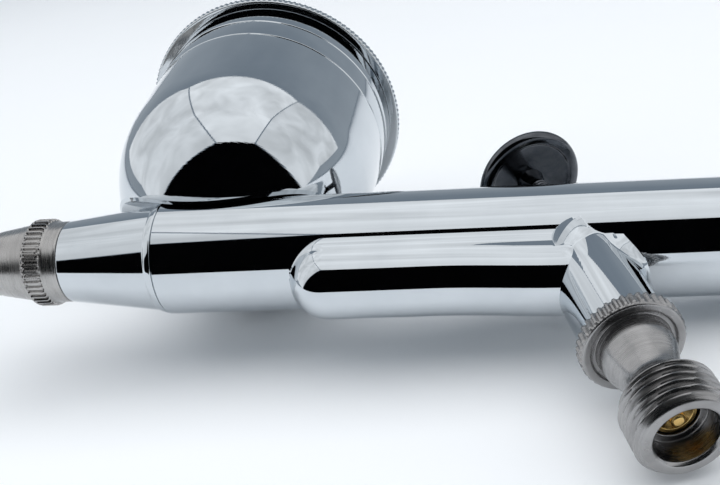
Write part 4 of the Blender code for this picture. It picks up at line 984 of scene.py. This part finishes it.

# %% [markdown]
# ## Springs
# Two coil springs push the trigger back: one round the needle guide, one under the valve disc. A
# node tree bends a wire along a spiral.

# %% Spring tree
def spring_tree():
    tree = bpy.data.node_groups.new("coil_spring", "GeometryNodeTree")
    face = tree.interface
    face.new_socket("Start", in_out="INPUT", socket_type="NodeSocketGeometry")
    for name in ("Turns", "Coil radius", "Wire radius", "Length", "First height"):
        face.new_socket(name, in_out="INPUT", socket_type="NodeSocketFloat")
    face.new_socket("Finish", in_out="INPUT", socket_type="NodeSocketMaterial")
    face.new_socket("Piece", in_out="OUTPUT", socket_type="NodeSocketGeometry")
    nodes, links = tree.nodes, tree.links
    given = nodes.new("NodeGroupInput")
    spiral = nodes.new("GeometryNodeCurveSpiral")
    spiral.inputs["Resolution"].default_value = 28
    for name, socket in (("Turns", "Rotations"), ("Coil radius", "Start Radius"),
                         ("Coil radius", "End Radius"), ("Length", "Height")):
        links.new(given.outputs[name], spiral.inputs[socket])
    wire = nodes.new("GeometryNodeCurvePrimitiveCircle")
    wire.inputs["Resolution"].default_value = 10
    links.new(given.outputs["Wire radius"], wire.inputs["Radius"])
    tube = nodes.new("GeometryNodeCurveToMesh")
    tube.inputs["Fill Caps"].default_value = True
    links.new(spiral.outputs[0], tube.inputs["Curve"])
    links.new(wire.outputs[0], tube.inputs["Profile Curve"])
    lift = nodes.new("GeometryNodeTransform")
    height = nodes.new("ShaderNodeCombineXYZ")
    links.new(given.outputs["First height"], height.inputs["Z"])
    links.new(tube.outputs[0], lift.inputs["Geometry"])
    links.new(height.outputs[0], lift.inputs["Translation"])
    end_tree(tree, given, lift.outputs[0])
    return tree


COIL = spring_tree()


def spring(name, node, place, coil_r, wire_r, turns, start, end):
    """A coil between two heights of an axis."""
    obj = mesh_object(name, [], [])
    low, high = start + wire_r, end - wire_r
    bake_nodes(obj, COIL, {"Turns": float(turns), "Coil radius": coil_r, "Wire radius": wire_r,
                           "Length": high - low, "First height": low, "Finish": spring_wire}, place, 80.0)
    shape = bmesh.new()
    shape.from_mesh(obj.data)
    bmesh.ops.remove_doubles(shape, verts=shape.verts, dist=1e-7)
    bmesh.ops.recalc_face_normals(shape, faces=shape.faces)
    shape.to_mesh(obj.data)
    shape.free()
    settle(obj, "root", node, finish=spring_wire, slot="spring_steel")
    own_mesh(obj)


GUIDE_REAR_FACE = 6.1 * MM
CASE_END = 27.8 * MM
spring("needle_coil", "needle_spring", needle_axis, 3.1 * MM, 0.25 * MM, 9,
       GUIDE_REAR_FACE + 0.2 * MM, CASE_END)
spring("valve_coil", "valve_spring", valve_axis, 1.5 * MM, 0.2 * MM, 7,
       DISC_TOP + 1.2 * MM, SCREW_TOP - 0.2 * MM)

# %% Finishes for the pieces that stay as they are
kept = {
    "needle": needle_steel, "nozzle": bare_nickel, "needle_guide": bare_nickel, "chucking_nut": bare_nickel,
    "spring_case": bare_nickel, "auxiliary_lever": bare_nickel, "packing_screw": brass_needle,
    "plunger": brass_valve, "plunger_guide": brass_valve, "head_packing": white_packing,
    "nozzle_packing": white_packing, "needle_packing": white_packing, "valve_packing": black_rubber,
    "casing_o_ring": black_rubber, "plunger_o_ring": black_rubber}
for name, finish in kept.items():
    frame["nodes"][name].data.materials.clear()
    frame["nodes"][name].data.materials.append(finish)
print(len(kept), "pieces keep their own solids")

# %% [markdown]
# ## Light tent
# A mirror needs something to mirror. Product photographers set chrome in a small white tent with one
# dark opening, which the lens looks through. Here three glowing walls rise from the opening's edges
# and lean back over the airbrush, and thin dark seams show where they meet. The opening draws the
# black bands along a polished tube, so it is part of the lighting. Reflections alone see the cards.

# %% Floor and panels
def flat_finish(name, colour, roughness=0.7):
    material, nodes, links, shader = new_finish(name, 0.0, roughness)
    even = object_coordinates(nodes, links, Matrix.Identity(4), (1.0, 1.0, 1.0))
    paper = noise(nodes, links, even, 30.0, 3.0, 0.6)
    softer = tuple(c * 0.985 for c in colour)
    links.new(blend_colour(nodes, links, paper, colour, softer), shader.inputs["Base Color"])
    shader.inputs["Specular IOR Level"].default_value = 0.1
    return material


def lit_cloth(name, colour, glow):
    """A tent wall that glows, a little unevenly, as cloth does with a lamp behind it."""
    material = flat_finish(name, (0.0, 0.0, 0.0), 0.9)
    nodes, links = material.node_tree.nodes, material.node_tree.links
    nodes["Principled BSDF"].inputs["Emission Color"].default_value = (*colour, 1.0)
    even = object_coordinates(nodes, links, Matrix.Identity(4), (1.0, 1.0, 1.0))
    folds = noise(nodes, links, even, 5.0, 2.0, 0.5, 0.6)
    links.new(spread(nodes, links, folds, 0.3, 0.7, glow * 0.78, glow * 1.12),
              nodes["Principled BSDF"].inputs["Emission Strength"])
    return material


def card(name, sides, finish, seen=False):
    """A card or wall of flat quads. Reflections alone see it, unless it is said to be seen."""
    mesh = bpy.data.meshes.new(name)
    corners = [corner for side in sides for corner in side]
    mesh.from_pydata(corners, [], [tuple(range(i, i + 4)) for i in range(0, len(corners), 4)])
    mesh.materials.append(finish)
    obj = in_scene(name, mesh)
    obj.visible_camera = obj.visible_diffuse = obj.visible_shadow = seen


def softbox(name, centre, width, height, target, power):
    light = bpy.data.lights.new(name, "AREA")
    light.shape = "RECTANGLE"
    light.size, light.size_y = width, height
    light.energy = power
    obj = in_scene(name, light)
    obj.location = centre
    obj.rotation_euler = (Vector(centre) - Vector(target)).to_track_quat("Z", "Y").to_euler()
    obj.visible_camera = obj.visible_glossy = False


softbox("top_light", (0.0, 0.02, 0.62), 1.1, 0.85, (0.0, 0.0, 0.0), 4.3)
softbox("left_light", (-0.62, -0.12, 0.30), 0.6, 0.5, (-0.02, 0.0, 0.02), 1.15)
softbox("right_light", (0.62, -0.12, 0.30), 0.6, 0.5, (0.02, 0.0, 0.02), 1.15)
GROUND_Z = -0.05 * MM
GROUND_HALF = 3.0
floor_corners = [(-GROUND_HALF, -GROUND_HALF, GROUND_Z), (GROUND_HALF, -GROUND_HALF, GROUND_Z),
                 (GROUND_HALF, GROUND_HALF, GROUND_Z), (-GROUND_HALF, GROUND_HALF, GROUND_Z)]
card("floor", [floor_corners], flat_finish("pale_floor", (0.93, 0.935, 0.94)), seen=True)
black_cloth = flat_finish("black_cloth", (0.001, 0.001, 0.0012))
black_cloth.node_tree.nodes["Principled BSDF"].inputs["Specular IOR Level"].default_value = 0.0
CARD_Y = -0.155                         # the dark opening that the lens looks through
card("lens_opening", [[(-0.42, CARD_Y, 0.0), (0.30, CARD_Y, 0.0), (0.10, CARD_Y, 0.27),
                       (-0.07, CARD_Y, 0.27)]], black_cloth)
card("centre_wall", [
    [(-0.07, CARD_Y, 0.27), (0.10, CARD_Y, 0.27), (0.33, 0.0, 0.60), (-0.30, 0.0, 0.60)],
    [(-0.30, 0.0, 0.60), (0.33, 0.0, 0.60), (0.48, 0.50, 0.60), (-0.45, 0.50, 0.60)]],
    lit_cloth("lit_centre", (0.97, 0.985, 1.0), 1.12))
card("left_wall", [
    [(-0.43, CARD_Y, 0.0), (-0.078, CARD_Y, 0.27), (-0.312, 0.0, 0.60), (-0.80, 0.0, 0.10)],
    [(-0.80, 0.0, 0.10), (-0.312, 0.0, 0.60), (-0.462, 0.50, 0.60), (-0.80, 0.50, 0.10)]],
    lit_cloth("lit_left", (0.96, 0.98, 1.0), 1.0))
card("right_wall", [
    [(0.31, CARD_Y, 0.0), (0.108, CARD_Y, 0.27), (0.342, 0.0, 0.60), (0.75, 0.0, 0.10)],
    [(0.75, 0.0, 0.10), (0.342, 0.0, 0.60), (0.492, 0.50, 0.60), (0.85, 0.50, 0.10)]],
    lit_cloth("lit_right", (0.96, 0.98, 1.0), 0.95))

# %% World
world = bpy.data.worlds.new("studio")
bpy.context.scene.world = world
world.use_nodes = True
tree = world.node_tree
background = tree.nodes["Background"]
background.inputs["Strength"].default_value = 0.72
sky = tree.nodes.new("ShaderNodeTexCoord")
height = tree.nodes.new("ShaderNodeSeparateXYZ")
tree.links.new(sky.outputs["Generated"], height.inputs[0])
dusk = noise(tree.nodes, tree.links, sky.outputs["Generated"], 3.0, 2.0, 0.5)
rise = spread(tree.nodes, tree.links, height.outputs["Z"], 0.0, 1.0, -0.15, 0.85)
shade = add(tree.nodes, tree.links, rise, spread(tree.nodes, tree.links, dusk, 0.3, 0.7, 0.0, 0.3))
tree.links.new(blend_colour(tree.nodes, tree.links, shade, (0.50, 0.56, 0.62), (0.28, 0.34, 0.41)),
               background.inputs["Color"])
bright = tree.nodes.new("ShaderNodeBackground")
bright.inputs["Color"].default_value = (0.97, 0.975, 0.98, 1.0)
ray = tree.nodes.new("ShaderNodeLightPath")
choose = tree.nodes.new("ShaderNodeMixShader")
tree.links.new(ray.outputs["Is Camera Ray"], choose.inputs[0])
tree.links.new(background.outputs[0], choose.inputs[1])
tree.links.new(bright.outputs[0], choose.inputs[2])
tree.links.new(choose.outputs[0], tree.nodes["World Output"].inputs["Surface"])
bpy.context.scene.view_settings.view_transform = "Standard"

# %% [markdown]
# ## Camera
# The lens stands close, a hand's width away and a little above the bench, so the hose thread in front
# looks large beside the cup behind. Its place is given in the airbrush's own axes.

# %% Camera
LENS = 48.15
CAMERA_AT = Vector((-3.7, -61.6, -92.4)) * MM
PITCH, YAW, ROLL = math.radians(56.58), math.radians(5.98), math.radians(-2.28)
camera = bpy.data.cameras.new("camera")
camera.lens = LENS
camera.sensor_width = 36.0
camera.shift_x = -0.1076
camera.clip_start = 5 * MM
view = in_scene("camera", camera)
turn = Euler((math.pi / 2 + PITCH, YAW, ROLL), "ZYX").to_matrix().to_4x4()
view.matrix_world = airbrush @ Matrix.Translation(CAMERA_AT) @ turn
bpy.context.scene.camera = view
